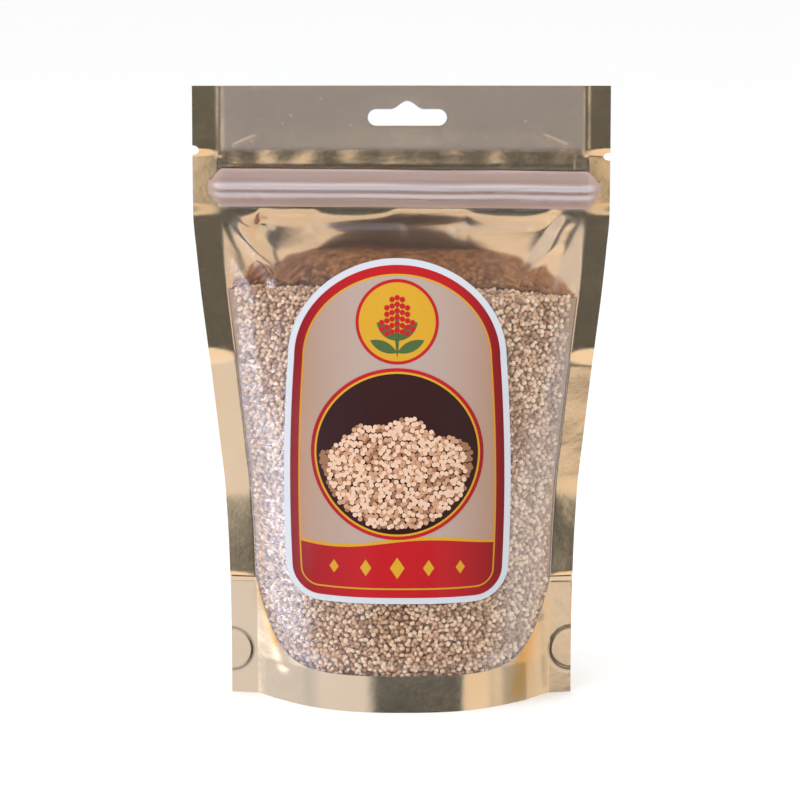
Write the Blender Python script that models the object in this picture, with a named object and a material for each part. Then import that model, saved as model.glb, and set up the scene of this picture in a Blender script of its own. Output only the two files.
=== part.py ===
"""A stand-up zip pouch of quinoa seed: clear front film, gold foil back and a sticker on the front.

The pouch faces -Y and stands on the skirt below its bottom gusset. It is filled to two thirds of its
height. Above the seed the two films close to the press zip and to a flat header with a hang hole.
The origin is on the floor, midway between the side seals.
"""

import math

import bmesh
import bpy
from mathutils import Vector

# The pouch, in metres
POUCH_HEIGHT = 0.180
FILM_THICKNESS = 0.0007
LEFT_SEAL = 0.0073
RIGHT_SEAL = 0.0063
SEAL_BLEND = 0.06

# Height, half width, depth of the front and of the back, and squareness of its cross sections,
# from the floor up. Above the seed the back foil draws in more than the front film.
SECTIONS = (
    (0.000, 0.0495, 0.0222, 0.0222, 2.6),
    (0.020, 0.0496, 0.0224, 0.0224, 2.6),
    (0.040, 0.0500, 0.0222, 0.0222, 2.6),
    (0.060, 0.0510, 0.0212, 0.0212, 2.5),
    (0.076, 0.0527, 0.0196, 0.0194, 2.4),
    (0.091, 0.0544, 0.0176, 0.0170, 2.3),
    (0.105, 0.0560, 0.0153, 0.0138, 2.3),
    (0.119, 0.0577, 0.0124, 0.0092, 2.2),
    (0.132, 0.0590, 0.0076, 0.0024, 2.2),
    (0.1430, 0.0599, 0.0004, 0.0004, 2.2),
    (0.157, 0.0600, 0.0004, 0.0004, 2.0),
    (0.168, 0.0600, 0.0007, 0.0007, 2.0),
    (0.180, 0.0600, 0.0003, 0.0003, 2.0),
)
HALF_WIDTH = 1
FRONT_DEPTH = 2
BACK_DEPTH = 3
SQUARENESS = 4

# Below the zip the two films part over this drop
FILMS_PART_HEIGHT = 0.1430
FILMS_PART_DROP = 0.006

# The bottom gusset: the seam rises from the middle of the skirt to the fold at each side seal
SEAM_MIDDLE_HEIGHT = 0.011
GUSSET_FOLD_HEIGHT = 0.035
SEAM_SQUARENESS = 8.0
BELLY_OVERHANG = 0.0010
BELLY_RISE = 0.006
SKIRT_WALL = 0.0011
GUSSET_SAG = 0.0015

# Folds of the front film: start x and z, end x and z, half breadth, and how far it stands out
FRONT_FOLDS = (
    (-0.0515, 0.1405, -0.0395, 0.1235, 0.0022, -0.0012),
    (-0.0490, 0.1270, -0.0400, 0.1190, 0.0030, 0.0010),
    (-0.0250, 0.1385, -0.0010, 0.1390, 0.0022, 0.0016),
    (0.0160, 0.1385, 0.0350, 0.1380, 0.0022, 0.0016),
    (0.0370, 0.1390, 0.0450, 0.1385, 0.0018, 0.0012),
    (0.0530, 0.1340, 0.0460, 0.1220, 0.0024, -0.0010),
    (-0.0390, 0.0270, -0.0340, 0.0080, 0.0018, 0.0009),
    (0.0400, 0.0230, 0.0415, 0.0020, 0.0014, -0.0009),
    (0.0355, 0.0160, 0.0360, 0.0000, 0.0020, 0.0010),
    (0.0270, 0.0120, 0.0275, 0.0000, 0.0026, -0.0007),
)

# Folds of the back foil, in the same terms
BACK_FOLDS = (
    (-0.0480, 0.1390, -0.0330, 0.1200, 0.0026, -0.0012),
    (0.0480, 0.1390, 0.0350, 0.1210, 0.0026, -0.0012),
    (-0.0180, 0.1380, 0.0120, 0.1385, 0.0024, 0.0014),
    (-0.0380, 0.0240, -0.0360, 0.0020, 0.0018, -0.0009),
    (0.0330, 0.0150, 0.0320, 0.0000, 0.0020, 0.0008),
)

# The hang hole: a slot with a hump in the middle of its upper side
HANG_HOLE_CENTRE = (0.0017, 0.1707)
HANG_HOLE_LENGTH = 0.0227
HANG_HOLE_HEIGHT = 0.0049
HUMP_HALF_BREADTH = 0.0048
HUMP_HEIGHT = 0.0024

# The tear notches: height of each, half height and depth
LEFT_NOTCH = (0.1612, 0.00145, 0.0019)
RIGHT_NOTCH = (0.1592, 0.00120, 0.0020)

# The press zip
ZIP_LEFT_END = -0.0554
ZIP_RIGHT_END = 0.0572
ZIP_MIDDLE_HEIGHT = 0.1502
ZIP_SLOPE = -0.009
ZIP_HALF_HEIGHT = 0.0055
ZIP_STRIP_THICKNESS = 0.0005
ZIP_CRUSH_LENGTH = 0.0035
ZIP_RIDGE_RADIUS = 0.0008
ZIP_RIDGE_OFFSETS = (-0.0021, 0.0005)

# The label: straight sides under an elliptical arch, and rounded lower corners
LABEL_MIDDLE = -0.0012
LABEL_BOTTOM = 0.033
LABEL_SPRING = 0.103
LABEL_TOP = 0.1315
LABEL_HALF_WIDTH = 0.0325
LABEL_BARREL = 0.0012
LABEL_CORNER = 0.009
LABEL_THICKNESS = 0.0003

# Shared by neighbouring solids
CLEARANCE = 0.0003
PANEL_COLUMNS = 34
ARC_STEPS = 8


def remove_everything():
    """Clears the scene's objects."""
    for thing in list(bpy.data.objects):
        bpy.data.objects.remove(thing)


def finish(name, colour, roughness, metallic):
    """A plain material with the piece's colour, roughness and metallic value."""
    material = bpy.data.materials.new(name)
    material.use_nodes = True
    shader = material.node_tree.nodes["Principled BSDF"]
    shader.inputs["Base Color"].default_value = (*colour, 1.0)
    shader.inputs["Roughness"].default_value = roughness
    shader.inputs["Metallic"].default_value = metallic
    return material


def new_object(name, mesh_builder, material=None):
    """Links a new object whose mesh is the given bmesh, with its faces turned outwards."""
    bmesh.ops.recalc_face_normals(mesh_builder, faces=mesh_builder.faces)
    mesh = bpy.data.meshes.new(name)
    mesh_builder.to_mesh(mesh)
    mesh_builder.free()
    thing = bpy.data.objects.new(name, mesh)
    bpy.context.scene.collection.objects.link(thing)
    if material is not None:
        mesh.materials.append(material)
    return thing


def monotone_curve(stations, column, height):
    """A value of the section table at a height, on a cubic that never overshoots its stations."""
    heights = [row[0] for row in stations]
    values = [row[column] for row in stations]
    height = min(max(height, heights[0]), heights[-1])
    last = len(heights) - 2
    i = min(last, max(k for k in range(len(heights)) if heights[k] <= height))
    slopes = [
        (values[k + 1] - values[k]) / (heights[k + 1] - heights[k]) for k in range(last + 1)
    ]

    def tangent(k):
        if k == 0 or k == last + 1:
            return 0.0
        before = slopes[k - 1]
        after = slopes[k]
        return 0.0 if before * after <= 0 else 2 * before * after / (before + after)

    span = heights[i + 1] - heights[i]
    t = (height - heights[i]) / span
    rise = values[i + 1] - values[i]
    start = tangent(i) * span
    end = tangent(i + 1) * span
    return values[i] + t * (start + t * (3 * rise - 2 * start - end + t * (start + end - 2 * rise)))


def smooth_step(t):
    """Eases from 0 to 1 as t goes from 0 to 1."""
    t = min(max(t, 0.0), 1.0)
    return t * t * (3 - 2 * t)


def panel_edges(height):
    """The x of the left and right seals' inner edges at a height."""
    half_width = monotone_curve(SECTIONS, HALF_WIDTH, height)
    return LEFT_SEAL - half_width, half_width - RIGHT_SEAL


def dome(across, squareness):
    """How far a panel stands out between its seals: 0 at a seal and 1 in the middle."""
    rise = max(0.0, 1.0 - abs(across) ** squareness)
    return rise * rise * (1 + SEAL_BLEND) / (rise + SEAL_BLEND)


def gusset_seam(across):
    """The height of the seam between the skirt and the filled belly."""
    return SEAM_MIDDLE_HEIGHT + (GUSSET_FOLD_HEIGHT - SEAM_MIDDLE_HEIGHT) * (
        abs(across) ** SEAM_SQUARENESS
    )


def fold_relief(x, height, folds):
    """The height of the folds at a point of a film."""
    relief = 0.0
    for start_x, start_z, end_x, end_z, breadth, stand in folds:
        run = Vector((end_x - start_x, end_z - start_z))
        reach = Vector((x - start_x, height - start_z))
        along = min(max(reach.dot(run) / run.length_squared, 0.0), 1.0)
        away = (reach - run * along).length / breadth
        relief += stand * math.exp(-away * away)
    return relief


def panel_depth(x, height, depth_column, folds):
    """How far the front or the back panel lies from the plane of the side seals."""
    left, right = panel_edges(height)
    across = (2 * x - left - right) / (right - left)
    squareness = monotone_curve(SECTIONS, SQUARENESS, height)
    shape = dome(across, squareness)
    bulge = monotone_curve(SECTIONS, depth_column, height) * shape
    above_seam = (height - gusset_seam(across)) / BELLY_RISE
    below_zip = smooth_step((FILMS_PART_HEIGHT - height) / FILMS_PART_DROP)
    belly = BELLY_OVERHANG * smooth_step(above_seam) * below_zip
    fading = min(1.0, 4 * shape)
    return FILM_THICKNESS / 2 + bulge + fading * (belly + below_zip * fold_relief(x, height, folds))


def front_depth(x, height):
    """How far the front film lies before the plane of the side seals."""
    return panel_depth(x, height, FRONT_DEPTH, FRONT_FOLDS)


def back_depth(x, height):
    """How far the back foil lies behind the plane of the side seals."""
    return panel_depth(x, height, BACK_DEPTH, BACK_FOLDS)


def front_point(x, height, lift):
    """A point of the front film, lifted off it by a distance along its normal."""
    step = 0.0005
    depth = front_depth(x, height)
    lean_x = (front_depth(x + step, height) - depth) / step
    lean_z = (front_depth(x, height + step) - depth) / step
    normal = Vector((-lean_x, -1.0, -lean_z)).normalized()
    return Vector((x, -depth, height)) + normal * lift


def spaced(start, end, count):
    """Evenly spaced values from start up to, but not including, end."""
    return [start + (end - start) * k / count for k in range(count)]


def row_heights():
    """The heights of the pouch's rows, closest where the film bends most."""
    rows = spaced(0.0, 0.040, 14)
    rows += spaced(0.040, 0.100, 10)
    rows += spaced(0.100, 0.146, 16)
    rows += spaced(0.146, POUCH_HEIGHT, 7)
    return rows + [POUCH_HEIGHT]


def row_positions(height):
    """The x of each column at a height: the outer edge, the panel's columns, the outer edge."""
    half_width = monotone_curve(SECTIONS, HALF_WIDTH, height)
    left, right = panel_edges(height)
    inner = [left + (right - left) * k / PANEL_COLUMNS for k in range(PANEL_COLUMNS + 1)]
    return [-half_width] + inner + [half_width]


def close_sheets(builder, front, back):
    """Joins two grids of points of the same size, back to back, into one closed skin."""
    rows = [[[builder.verts.new(p) for p in row] for row in grid] for grid in (front, back)]
    top = len(front) - 1
    side = len(front[0]) - 1
    for grid in rows:
        for j in range(top):
            for i in range(side):
                corners = (grid[j][i], grid[j][i + 1], grid[j + 1][i + 1], grid[j + 1][i])
                builder.faces.new(corners)
    near, far = rows
    for j in range(top):
        for i in (0, side):
            builder.faces.new((near[j][i], near[j + 1][i], far[j + 1][i], far[j][i]))
    for i in range(side):
        for j in (0, top):
            builder.faces.new((near[j][i], near[j][i + 1], far[j][i + 1], far[j][i]))


def build_pouch_body():
    """The filled pouch as one solid, before its holes are cut."""
    front = []
    back = []
    for height in row_heights():
        columns = row_positions(height)
        front.append([Vector((x, -front_depth(x, height), height)) for x in columns])
        back.append([Vector((x, back_depth(x, height), height)) for x in columns])
    builder = bmesh.new()
    close_sheets(builder, front, back)
    foil = finish("gold_foil", (0.72, 0.55, 0.36), 0.30, 0.85)
    return new_object("pouch", builder, foil)


def hang_hole_outline():
    """The hang hole's outline, once round from its left end's lower side."""
    centre_x, centre_z = HANG_HOLE_CENTRE
    radius = HANG_HOLE_HEIGHT / 2
    reach = HANG_HOLE_LENGTH / 2 - radius
    outline = []
    for k in range(ARC_STEPS + 1):
        turn = math.pi * (k / ARC_STEPS - 0.5)
        outline.append((centre_x + reach + radius * math.cos(turn), centre_z + radius * math.sin(turn)))
    for k in range(2 * ARC_STEPS + 1):
        share = 1 - k / ARC_STEPS
        hump = HUMP_HEIGHT * math.cos(math.pi * share / 2) ** 2
        outline.append((centre_x + HUMP_HALF_BREADTH * share, centre_z + radius + hump))
    for k in range(ARC_STEPS + 1):
        turn = math.pi * (k / ARC_STEPS + 0.5)
        outline.append((centre_x - reach + radius * math.cos(turn), centre_z + radius * math.sin(turn)))
    return outline


def notch_outline(side, height, half_height, depth):
    """An ellipse round the pouch's edge, of which the inner half is the tear notch."""
    edge = side * monotone_curve(SECTIONS, HALF_WIDTH, height)
    steps = 2 * ARC_STEPS
    turns = [2 * math.pi * k / steps for k in range(steps)]
    return [(edge + depth * math.cos(t), height + half_height * math.sin(t)) for t in turns]


def punch(name, outline):
    """A cutter that runs right through the films along Y."""
    builder = bmesh.new()
    near = [builder.verts.new((x, -0.02, z)) for x, z in outline]
    far = [builder.verts.new((x, 0.02, z)) for x, z in outline]
    builder.faces.new(near)
    builder.faces.new(far)
    for k in range(len(outline)):
        after = (k + 1) % len(outline)
        builder.faces.new((near[k], near[after], far[after], far[k]))
    return new_object(name, builder)


def gusset_hollow_cutter():
    """The space under the raised gusset, between the front and the back of the skirt."""
    left, right = panel_edges(0.0)
    half_depth = monotone_curve(SECTIONS, FRONT_DEPTH, 0.0)
    squareness = monotone_curve(SECTIONS, SQUARENESS, 0.0)
    reach = 0.90
    floor_margin = 0.004
    columns = 28
    rows = 10
    ceiling = []
    ground = []
    for k in range(columns + 1):
        across = reach * (2 * k / columns - 1)
        x = (left + right + across * (right - left)) / 2
        inside = half_depth * dome(across, squareness) - SKIRT_WALL
        seam = gusset_seam(across)
        top = []
        foot = []
        for m in range(rows + 1):
            share = 2 * m / rows - 1
            sag = GUSSET_SAG * (1 - share * share)
            top.append(Vector((x, inside * share, seam - sag)))
            foot.append(Vector((x, inside * share, -floor_margin)))
        ceiling.append(top)
        ground.append(foot)
    builder = bmesh.new()
    close_sheets(builder, ceiling, ground)
    return new_object("cut_gusset_hollow", builder)


def cut(target, cutter):
    """Takes a cutter out of the target, and keeps the cutter as a wire guide."""
    cutter.hide_render = True
    cutter.display_type = "WIRE"
    modifier = target.modifiers.new(cutter.name, "BOOLEAN")
    modifier.operation = "DIFFERENCE"
    modifier.solver = "EXACT"
    modifier.object = cutter


def build_pouch():
    """The pouch with its gusset hollow, hang hole and tear notches."""
    pouch = build_pouch_body()
    cut(pouch, gusset_hollow_cutter())
    cut(pouch, punch("cut_hang_hole", hang_hole_outline()))
    cut(pouch, punch("cut_left_notch", notch_outline(-1, *LEFT_NOTCH)))
    cut(pouch, punch("cut_right_notch", notch_outline(1, *RIGHT_NOTCH)))
    return pouch


def zip_profile():
    """The zip's cross section as depth and height: a flat strip with two ridges on its front."""
    back = 0.0
    front = ZIP_STRIP_THICKNESS
    points = [(back, ZIP_HALF_HEIGHT), (back, -ZIP_HALF_HEIGHT), (front, -ZIP_HALF_HEIGHT)]
    for offset in ZIP_RIDGE_OFFSETS:
        for k in range(ARC_STEPS + 1):
            turn = math.pi * k / ARC_STEPS
            rise = front + ZIP_RIDGE_RADIUS * math.sin(turn)
            points.append((rise, offset - ZIP_RIDGE_RADIUS * math.cos(turn)))
    return points + [(front, ZIP_HALF_HEIGHT)]


def build_zip():
    """The press zip: one profile drawn along the pouch, crushed flat and narrow at both ends."""
    inner_left = ZIP_LEFT_END + ZIP_CRUSH_LENGTH
    inner_right = ZIP_RIGHT_END - ZIP_CRUSH_LENGTH
    stations = [(ZIP_LEFT_END, 0.35), (ZIP_LEFT_END + ZIP_CRUSH_LENGTH / 2, 0.8)]
    stations += [(x, 1.0) for x in spaced(inner_left, inner_right, 12)]
    stations += [(inner_right, 1.0)]
    stations += [(ZIP_RIGHT_END - ZIP_CRUSH_LENGTH / 2, 0.8), (ZIP_RIGHT_END, 0.35)]
    seat = -(FILM_THICKNESS / 2 + monotone_curve(SECTIONS, FRONT_DEPTH, ZIP_MIDDLE_HEIGHT) + CLEARANCE)
    builder = bmesh.new()
    rings = []
    for x, fullness in stations:
        middle = ZIP_MIDDLE_HEIGHT + ZIP_SLOPE * x
        ring = []
        for depth, height in zip_profile():
            place = (x, seat - depth * fullness, middle + height * fullness)
            ring.append(builder.verts.new(place))
        rings.append(ring)
    for ring, after in zip(rings, rings[1:]):
        for k in range(len(ring)):
            m = (k + 1) % len(ring)
            builder.faces.new((ring[k], ring[m], after[m], after[k]))
    builder.faces.new(rings[0])
    builder.faces.new(rings[-1])
    plastic = finish("zip_plastic", (0.62, 0.56, 0.53), 0.35, 0.0)
    return new_object("zipper", builder, plastic)


def label_half_width(height):
    """Half the label's breadth at a height."""
    middle = (LABEL_BOTTOM + LABEL_SPRING) / 2
    swell = (height - middle) / (LABEL_SPRING - middle)
    width = LABEL_HALF_WIDTH - LABEL_BARREL * min(1.0, swell * swell)
    if height > LABEL_SPRING:
        rise = (height - LABEL_SPRING) / (LABEL_TOP - LABEL_SPRING)
        return width * math.sqrt(max(0.0, 1 - rise * rise))
    drop = max(0.0, LABEL_BOTTOM + LABEL_CORNER - height)
    return width - LABEL_CORNER + math.sqrt(max(0.0, LABEL_CORNER**2 - drop**2))


def label_heights():
    """The heights of the label's rows, closest in its corners and towards the top of its arch."""
    corner = [
        LABEL_BOTTOM + LABEL_CORNER * (1 - math.cos(math.pi / 2 * k / ARC_STEPS))
        for k in range(ARC_STEPS)
    ]
    sides = spaced(LABEL_BOTTOM + LABEL_CORNER, LABEL_SPRING, 14)
    steps = 2 * ARC_STEPS
    arch_top = steps - 1
    arch = [
        LABEL_SPRING + (LABEL_TOP - LABEL_SPRING) * math.sin(math.pi / 2 * k / steps)
        for k in range(arch_top + 1)
    ]
    return corner + sides + arch


def build_label():
    """The label as a thin plate that follows the bulge of the front film."""
    columns = 14
    outer = []
    inner = []
    for height in label_heights():
        half = label_half_width(height)
        places = [LABEL_MIDDLE + half * (2 * k / columns - 1) for k in range(columns + 1)]
        outer.append([front_point(x, height, CLEARANCE + LABEL_THICKNESS) for x in places])
        inner.append([front_point(x, height, CLEARANCE) for x in places])
    builder = bmesh.new()
    close_sheets(builder, outer, inner)
    paper = finish("label_sticker", (0.70, 0.12, 0.10), 0.30, 0.0)
    return new_object("label", builder, paper)


remove_everything()
build_pouch()
build_zip()
build_label()
for piece in bpy.context.scene.objects:
    if not piece.hide_render:
        piece.data.shade_smooth()
        piece.data.set_sharp_from_angle(angle=math.radians(35))
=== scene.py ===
"""A stand-up zip pouch of quinoa seed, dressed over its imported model."""

import math
import random

import bmesh
import bpy
import numpy as np
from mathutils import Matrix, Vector, noise


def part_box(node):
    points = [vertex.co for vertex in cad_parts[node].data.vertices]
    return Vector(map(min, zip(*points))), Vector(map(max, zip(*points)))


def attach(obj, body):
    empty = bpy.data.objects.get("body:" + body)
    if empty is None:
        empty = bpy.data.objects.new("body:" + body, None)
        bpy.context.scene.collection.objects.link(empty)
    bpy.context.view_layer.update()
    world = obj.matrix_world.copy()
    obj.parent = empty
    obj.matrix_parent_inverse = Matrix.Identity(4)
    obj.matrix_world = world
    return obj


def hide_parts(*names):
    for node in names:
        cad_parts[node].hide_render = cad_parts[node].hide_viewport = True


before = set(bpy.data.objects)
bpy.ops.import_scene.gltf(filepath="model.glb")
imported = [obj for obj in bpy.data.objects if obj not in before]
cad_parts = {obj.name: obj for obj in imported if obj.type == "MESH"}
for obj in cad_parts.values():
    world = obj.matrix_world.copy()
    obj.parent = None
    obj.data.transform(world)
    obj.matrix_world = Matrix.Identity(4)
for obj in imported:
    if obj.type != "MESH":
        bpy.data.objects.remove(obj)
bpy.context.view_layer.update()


# Back foil
# One sheet of metallised gold film, the whole back of the pouch and the two side seals.
# It is welded to the front film at both sides, and a hang hole and tear notches are punched through.
POUCH_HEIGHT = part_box("pouch")[1].z
WELD_GAP = 0.00035
FILM_THICKNESS = 0.00015
LEFT_SEAL = 0.0073
RIGHT_SEAL = 0.0063
SEAL_BLEND = 0.06
FILMS_PART_HEIGHT = 0.1430
FILMS_PART_DROP = 0.006
SEAM_MIDDLE_HEIGHT = 0.011
GUSSET_FOLD_HEIGHT = 0.035
SEAM_SQUARENESS = 8.0
BELLY_OVERHANG = 0.0010
BELLY_RISE = 0.006

# Height, half width, depth in front of and behind the side seals, and squareness of the pouch's
# cross sections, from the floor up
SECTIONS = np.array((
    (0.000, 0.0495, 0.0222, 0.0222, 2.6),
    (0.020, 0.0496, 0.0224, 0.0224, 2.6),
    (0.040, 0.0500, 0.0222, 0.0222, 2.6),
    (0.060, 0.0510, 0.0212, 0.0212, 2.5),
    (0.076, 0.0527, 0.0196, 0.0194, 2.4),
    (0.091, 0.0544, 0.0176, 0.0170, 2.3),
    (0.105, 0.0560, 0.0153, 0.0138, 2.3),
    (0.119, 0.0577, 0.0124, 0.0092, 2.2),
    (0.132, 0.0590, 0.0076, 0.0024, 2.2),
    (0.143, 0.0599, 0.0004, 0.0004, 2.2),
    (0.157, 0.0600, 0.0004, 0.0004, 2.0),
    (0.168, 0.0600, 0.0007, 0.0007, 2.0),
    (0.180, 0.0600, 0.0003, 0.0003, 2.0),
))
HALF_WIDTH = 1
FRONT_DEPTH = 2
BACK_DEPTH = 3
SQUARENESS = 4

# Folds of the back foil: start x and z, end x and z, half breadth, and how far it stands out
BACK_FOLDS = (
    (-0.0480, 0.1390, -0.0330, 0.1200, 0.0026, -0.0012),
    (0.0480, 0.1390, 0.0350, 0.1210, 0.0026, -0.0012),
    (-0.0410, 0.1410, -0.0400, 0.1385, 0.0034, 0.0011),
    (-0.0380, 0.0240, -0.0360, 0.0020, 0.0018, -0.0009),
    (0.0330, 0.0150, 0.0320, 0.0000, 0.0020, 0.0008),
)

# How far the outer edge of each side seal curls back, by height
SEAL_CURL = np.array((
    (0.000, 0.0017),
    (0.0335, 0.0017),
    (0.0360, 0.0006),
    (0.058, 0.0008),
    (0.064, 0.0019),
    (0.098, 0.0019),
    (0.103, 0.0000),
    (0.142, 0.0000),
    (0.146, 0.0010),
    (0.159, 0.0010),
    (0.162, 0.0000),
    (0.180, 0.0000),
))
CURL_BREADTH = 0.010
CURL_POWER = 1.15

# Small folds of the back foil in the header, in the same terms as the others
HEADER_FOLDS = (
    (-0.0521, 0.1600, -0.0521, 0.1900, 0.0010, -0.00014),
    (0.0531, 0.1600, 0.0531, 0.1900, 0.0010, -0.00014),
    (-0.0480, 0.1626, -0.0422, 0.1650, 0.0004, -0.00016),
    (0.0474, 0.1626, 0.0410, 0.1652, 0.0004, -0.00016),
    (-0.0440, 0.1640, -0.0440, 0.1690, 0.0045, 0.00016),
    (0.0440, 0.1640, 0.0440, 0.1690, 0.0045, 0.00016),
)

# What the closed zip does to the foil: it holds it back behind itself, less and less above the zip,
# and just under the zip the foil keeps its bulge for a little longer
ZIP_PUSH = 0.00062
ZIP_PUSH_TOP = 0.1618
ZIP_PUSH_FOOT = 0.1567
ZIP_PUSH_START = 0.1450
ZIP_PUSH_EASE = 0.0030
ZIP_PUSH_WAVER = 0.5
ZIP_PUSH_WAVER_SIZE = 0.0060
ZIP_PUSH_WAVER_STRETCH = 0.3
UNDER_ZIP = 0.1450
UNDER_ZIP_EDGE = 0.0008
UNDER_ZIP_SHIFT = 0.0017
UNDER_ZIP_START = 0.1310
UNDER_ZIP_EASE = 0.0080

# Where the foil hangs straight under the zip instead: the middle x and half breadth of each place
STRAIGHT_PLACES = ((-0.0460, 0.0050), (-0.0135, 0.0110), (0.0310, 0.0120))
STRAIGHT_PULL = 1.2

# How steeply the folds, and what the zip does to the foil, rise from the seals
FOLD_RISE = 4
ZIP_PUSH_RISE = 12

# The foil's grid, its slow waves, and the gap that keeps its faces off those of the gusset
BELLY_ROWS = 95
HEADSPACE_START = 0.13
HEADSPACE_ROWS = 110
PANEL_COLUMNS = 160
SEAL_COLUMNS = 16
FOIL_WAVE = 0.00010
FOIL_WAVE_SIZE = 0.012
SKIN_GAP = 0.00002


def curve_through(stations, column, height):
    """A column of a table at the given heights, on a cubic that never overshoots its stations."""
    heights = stations[:, 0]
    values = stations[:, column]
    slopes = np.diff(values) / np.diff(heights)
    product = slopes[:-1] * slopes[1:]
    total = np.where(product > 0, slopes[:-1] + slopes[1:], 1.0)
    tangents = np.zeros(len(values))
    tangents[1:-1] = np.where(product > 0, 2 * product / total, 0.0)
    height = np.clip(height, heights[0], heights[-1])
    i = np.clip(np.searchsorted(heights, height, side="right") - 1, 0, len(slopes) - 1)
    span = heights[i + 1] - heights[i]
    t = (height - heights[i]) / span
    rise = values[i + 1] - values[i]
    start = tangents[i] * span
    end = tangents[i + 1] * span
    return values[i] + t * (start + t * (3 * rise - 2 * start - end + t * (start + end - 2 * rise)))


def smooth_step(t):
    """Eases from 0 to 1 as t goes from 0 to 1."""
    t = np.clip(t, 0.0, 1.0)
    return t * t * (3 - 2 * t)


def panel_edges(height):
    """The x of the left and right seals' inner edges."""
    half_width = curve_through(SECTIONS, HALF_WIDTH, height)
    return LEFT_SEAL - half_width, half_width - RIGHT_SEAL


def across_panel(x, height):
    """Where a point lies between the seals: -1 at the left one and 1 at the right one."""
    left, right = panel_edges(height)
    return (2 * x - left - right) / (right - left)


def gusset_seam(across):
    """The height of the seam between the skirt and the filled belly."""
    rise = GUSSET_FOLD_HEIGHT - SEAM_MIDDLE_HEIGHT
    return SEAM_MIDDLE_HEIGHT + rise * np.minimum(1.0, np.abs(across)) ** SEAM_SQUARENESS


def fold_relief(x, height, folds):
    """How far the folds stand out at the given points of a film."""
    relief = np.zeros_like(x)
    for start_x, start_z, end_x, end_z, breadth, stand in folds:
        run_x = end_x - start_x
        run_z = end_z - start_z
        along = ((x - start_x) * run_x + (height - start_z) * run_z) / (run_x**2 + run_z**2)
        along = np.clip(along, 0.0, 1.0)
        away = np.hypot(x - start_x - along * run_x, height - start_z - along * run_z)
        relief += stand * np.exp(-((away / breadth) ** 2))
    return relief


def panel_depth(x, height, depth_column, folds):
    """How far a panel's outer side lies from the plane of the side seals."""
    x, height = np.broadcast_arrays(np.asarray(x, float), np.asarray(height, float))
    across = across_panel(x, height)
    rise = np.maximum(0.0, 1 - np.abs(across) ** curve_through(SECTIONS, SQUARENESS, height))
    shape = rise * rise * (1 + SEAL_BLEND) / (rise + SEAL_BLEND)
    bulge = curve_through(SECTIONS, depth_column, height) * shape
    below_zip = smooth_step((FILMS_PART_HEIGHT - height) / FILMS_PART_DROP)
    belly = BELLY_OVERHANG * smooth_step((height - gusset_seam(across)) / BELLY_RISE)
    relief = below_zip * (belly + fold_relief(x, height, folds))
    return bulge + np.minimum(1.0, FOLD_RISE * shape) * relief


def back_depth(x, height):
    """How far the outside of the back foil lies behind the plane of the seals."""
    return panel_depth(x, height, BACK_DEPTH, BACK_FOLDS)


def sway(x, height):
    """How far all the films together lie behind the plane of the seals: their curled edges."""
    half_width = curve_through(SECTIONS, HALF_WIDTH, height)
    outside = np.clip((np.abs(x) - half_width + CURL_BREADTH) / CURL_BREADTH, 0.0, 1.0)
    return curve_through(SEAL_CURL, 1, height) * outside**CURL_POWER


def ripple(x, height, size, seed):
    """Smooth noise between -1 and 1 over a film, with features of about the given size."""
    flat = zip(np.ravel(x) / size, np.ravel(height) / size)
    return np.array([noise.noise((a, b, seed)) for a, b in flat]).reshape(np.shape(x))


def sheet_mesh(name, near, far):
    """A closed thin sheet between two grids of points, near towards -Y and far behind it."""
    rows, columns = near.shape[:2]
    index = np.arange(rows * columns).reshape(rows, columns)
    behind = index + rows * columns

    def quads(a, b, c, d):
        """Faces from the indices of their four corners."""
        return np.stack([np.ravel(a), np.ravel(b), np.ravel(c), np.ravel(d)], axis=1)

    faces = np.concatenate([
        quads(index[:-1, :-1], index[:-1, 1:], index[1:, 1:], index[1:, :-1]),
        quads(behind[:-1, :-1], behind[1:, :-1], behind[1:, 1:], behind[:-1, 1:]),
        quads(index[:-1, 0], index[1:, 0], behind[1:, 0], behind[:-1, 0]),
        quads(index[:-1, -1], behind[:-1, -1], behind[1:, -1], index[1:, -1]),
        quads(index[0, :-1], behind[0, :-1], behind[0, 1:], index[0, 1:]),
        quads(index[-1, :-1], index[-1, 1:], behind[-1, 1:], behind[-1, :-1]),
    ])
    points = np.concatenate([near.reshape(-1, 3), far.reshape(-1, 3)])
    mesh = bpy.data.meshes.new(name)
    mesh.from_pydata(points.tolist(), [], faces.tolist())
    return mesh


def place(name, mesh, material, sharp=35):
    """Links a finished mesh as a piece of the pouch, smooth but for its sharp edges."""
    piece = bpy.data.objects.new(name, mesh)
    bpy.context.scene.collection.objects.link(piece)
    mesh.materials.append(material)
    mesh.shade_smooth()
    mesh.set_sharp_from_angle(angle=math.radians(sharp))
    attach(piece, "root")
    return piece


EDGE_CROWDING = 0.6


def film_columns(height, panel_count, seal_count):
    """The x of a film's columns at each height, edge to edge, closest together beside the seals."""
    half_width = curve_through(SECTIONS, HALF_WIDTH, height)
    left, right = panel_edges(height)
    seal = np.linspace(0, 1, seal_count, endpoint=False)
    panel = np.linspace(0, 1, panel_count, endpoint=False)
    panel = panel - EDGE_CROWDING * np.sin(2 * np.pi * panel) / (2 * np.pi)
    last = np.linspace(0, 1, seal_count + 1)
    return np.concatenate([
        -half_width + (left + half_width) * seal,
        left + (right - left) * panel,
        right + (half_width - right) * last,
    ])


# The hang hole and the tear notches, in the same places as in the solid
HANG_HOLE_CENTRE = (0.0017, 0.1707)
HANG_HOLE_LENGTH = 0.0227
HANG_HOLE_HEIGHT = 0.0049
HUMP_HALF_BREADTH = 0.0048
HUMP_HEIGHT = 0.0024
LEFT_NOTCH = (0.1612, 0.00145, 0.0019)
RIGHT_NOTCH = (0.1592, 0.00120, 0.0020)
PUNCH_STEPS = 14
PUNCH_REACH = 0.01


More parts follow.
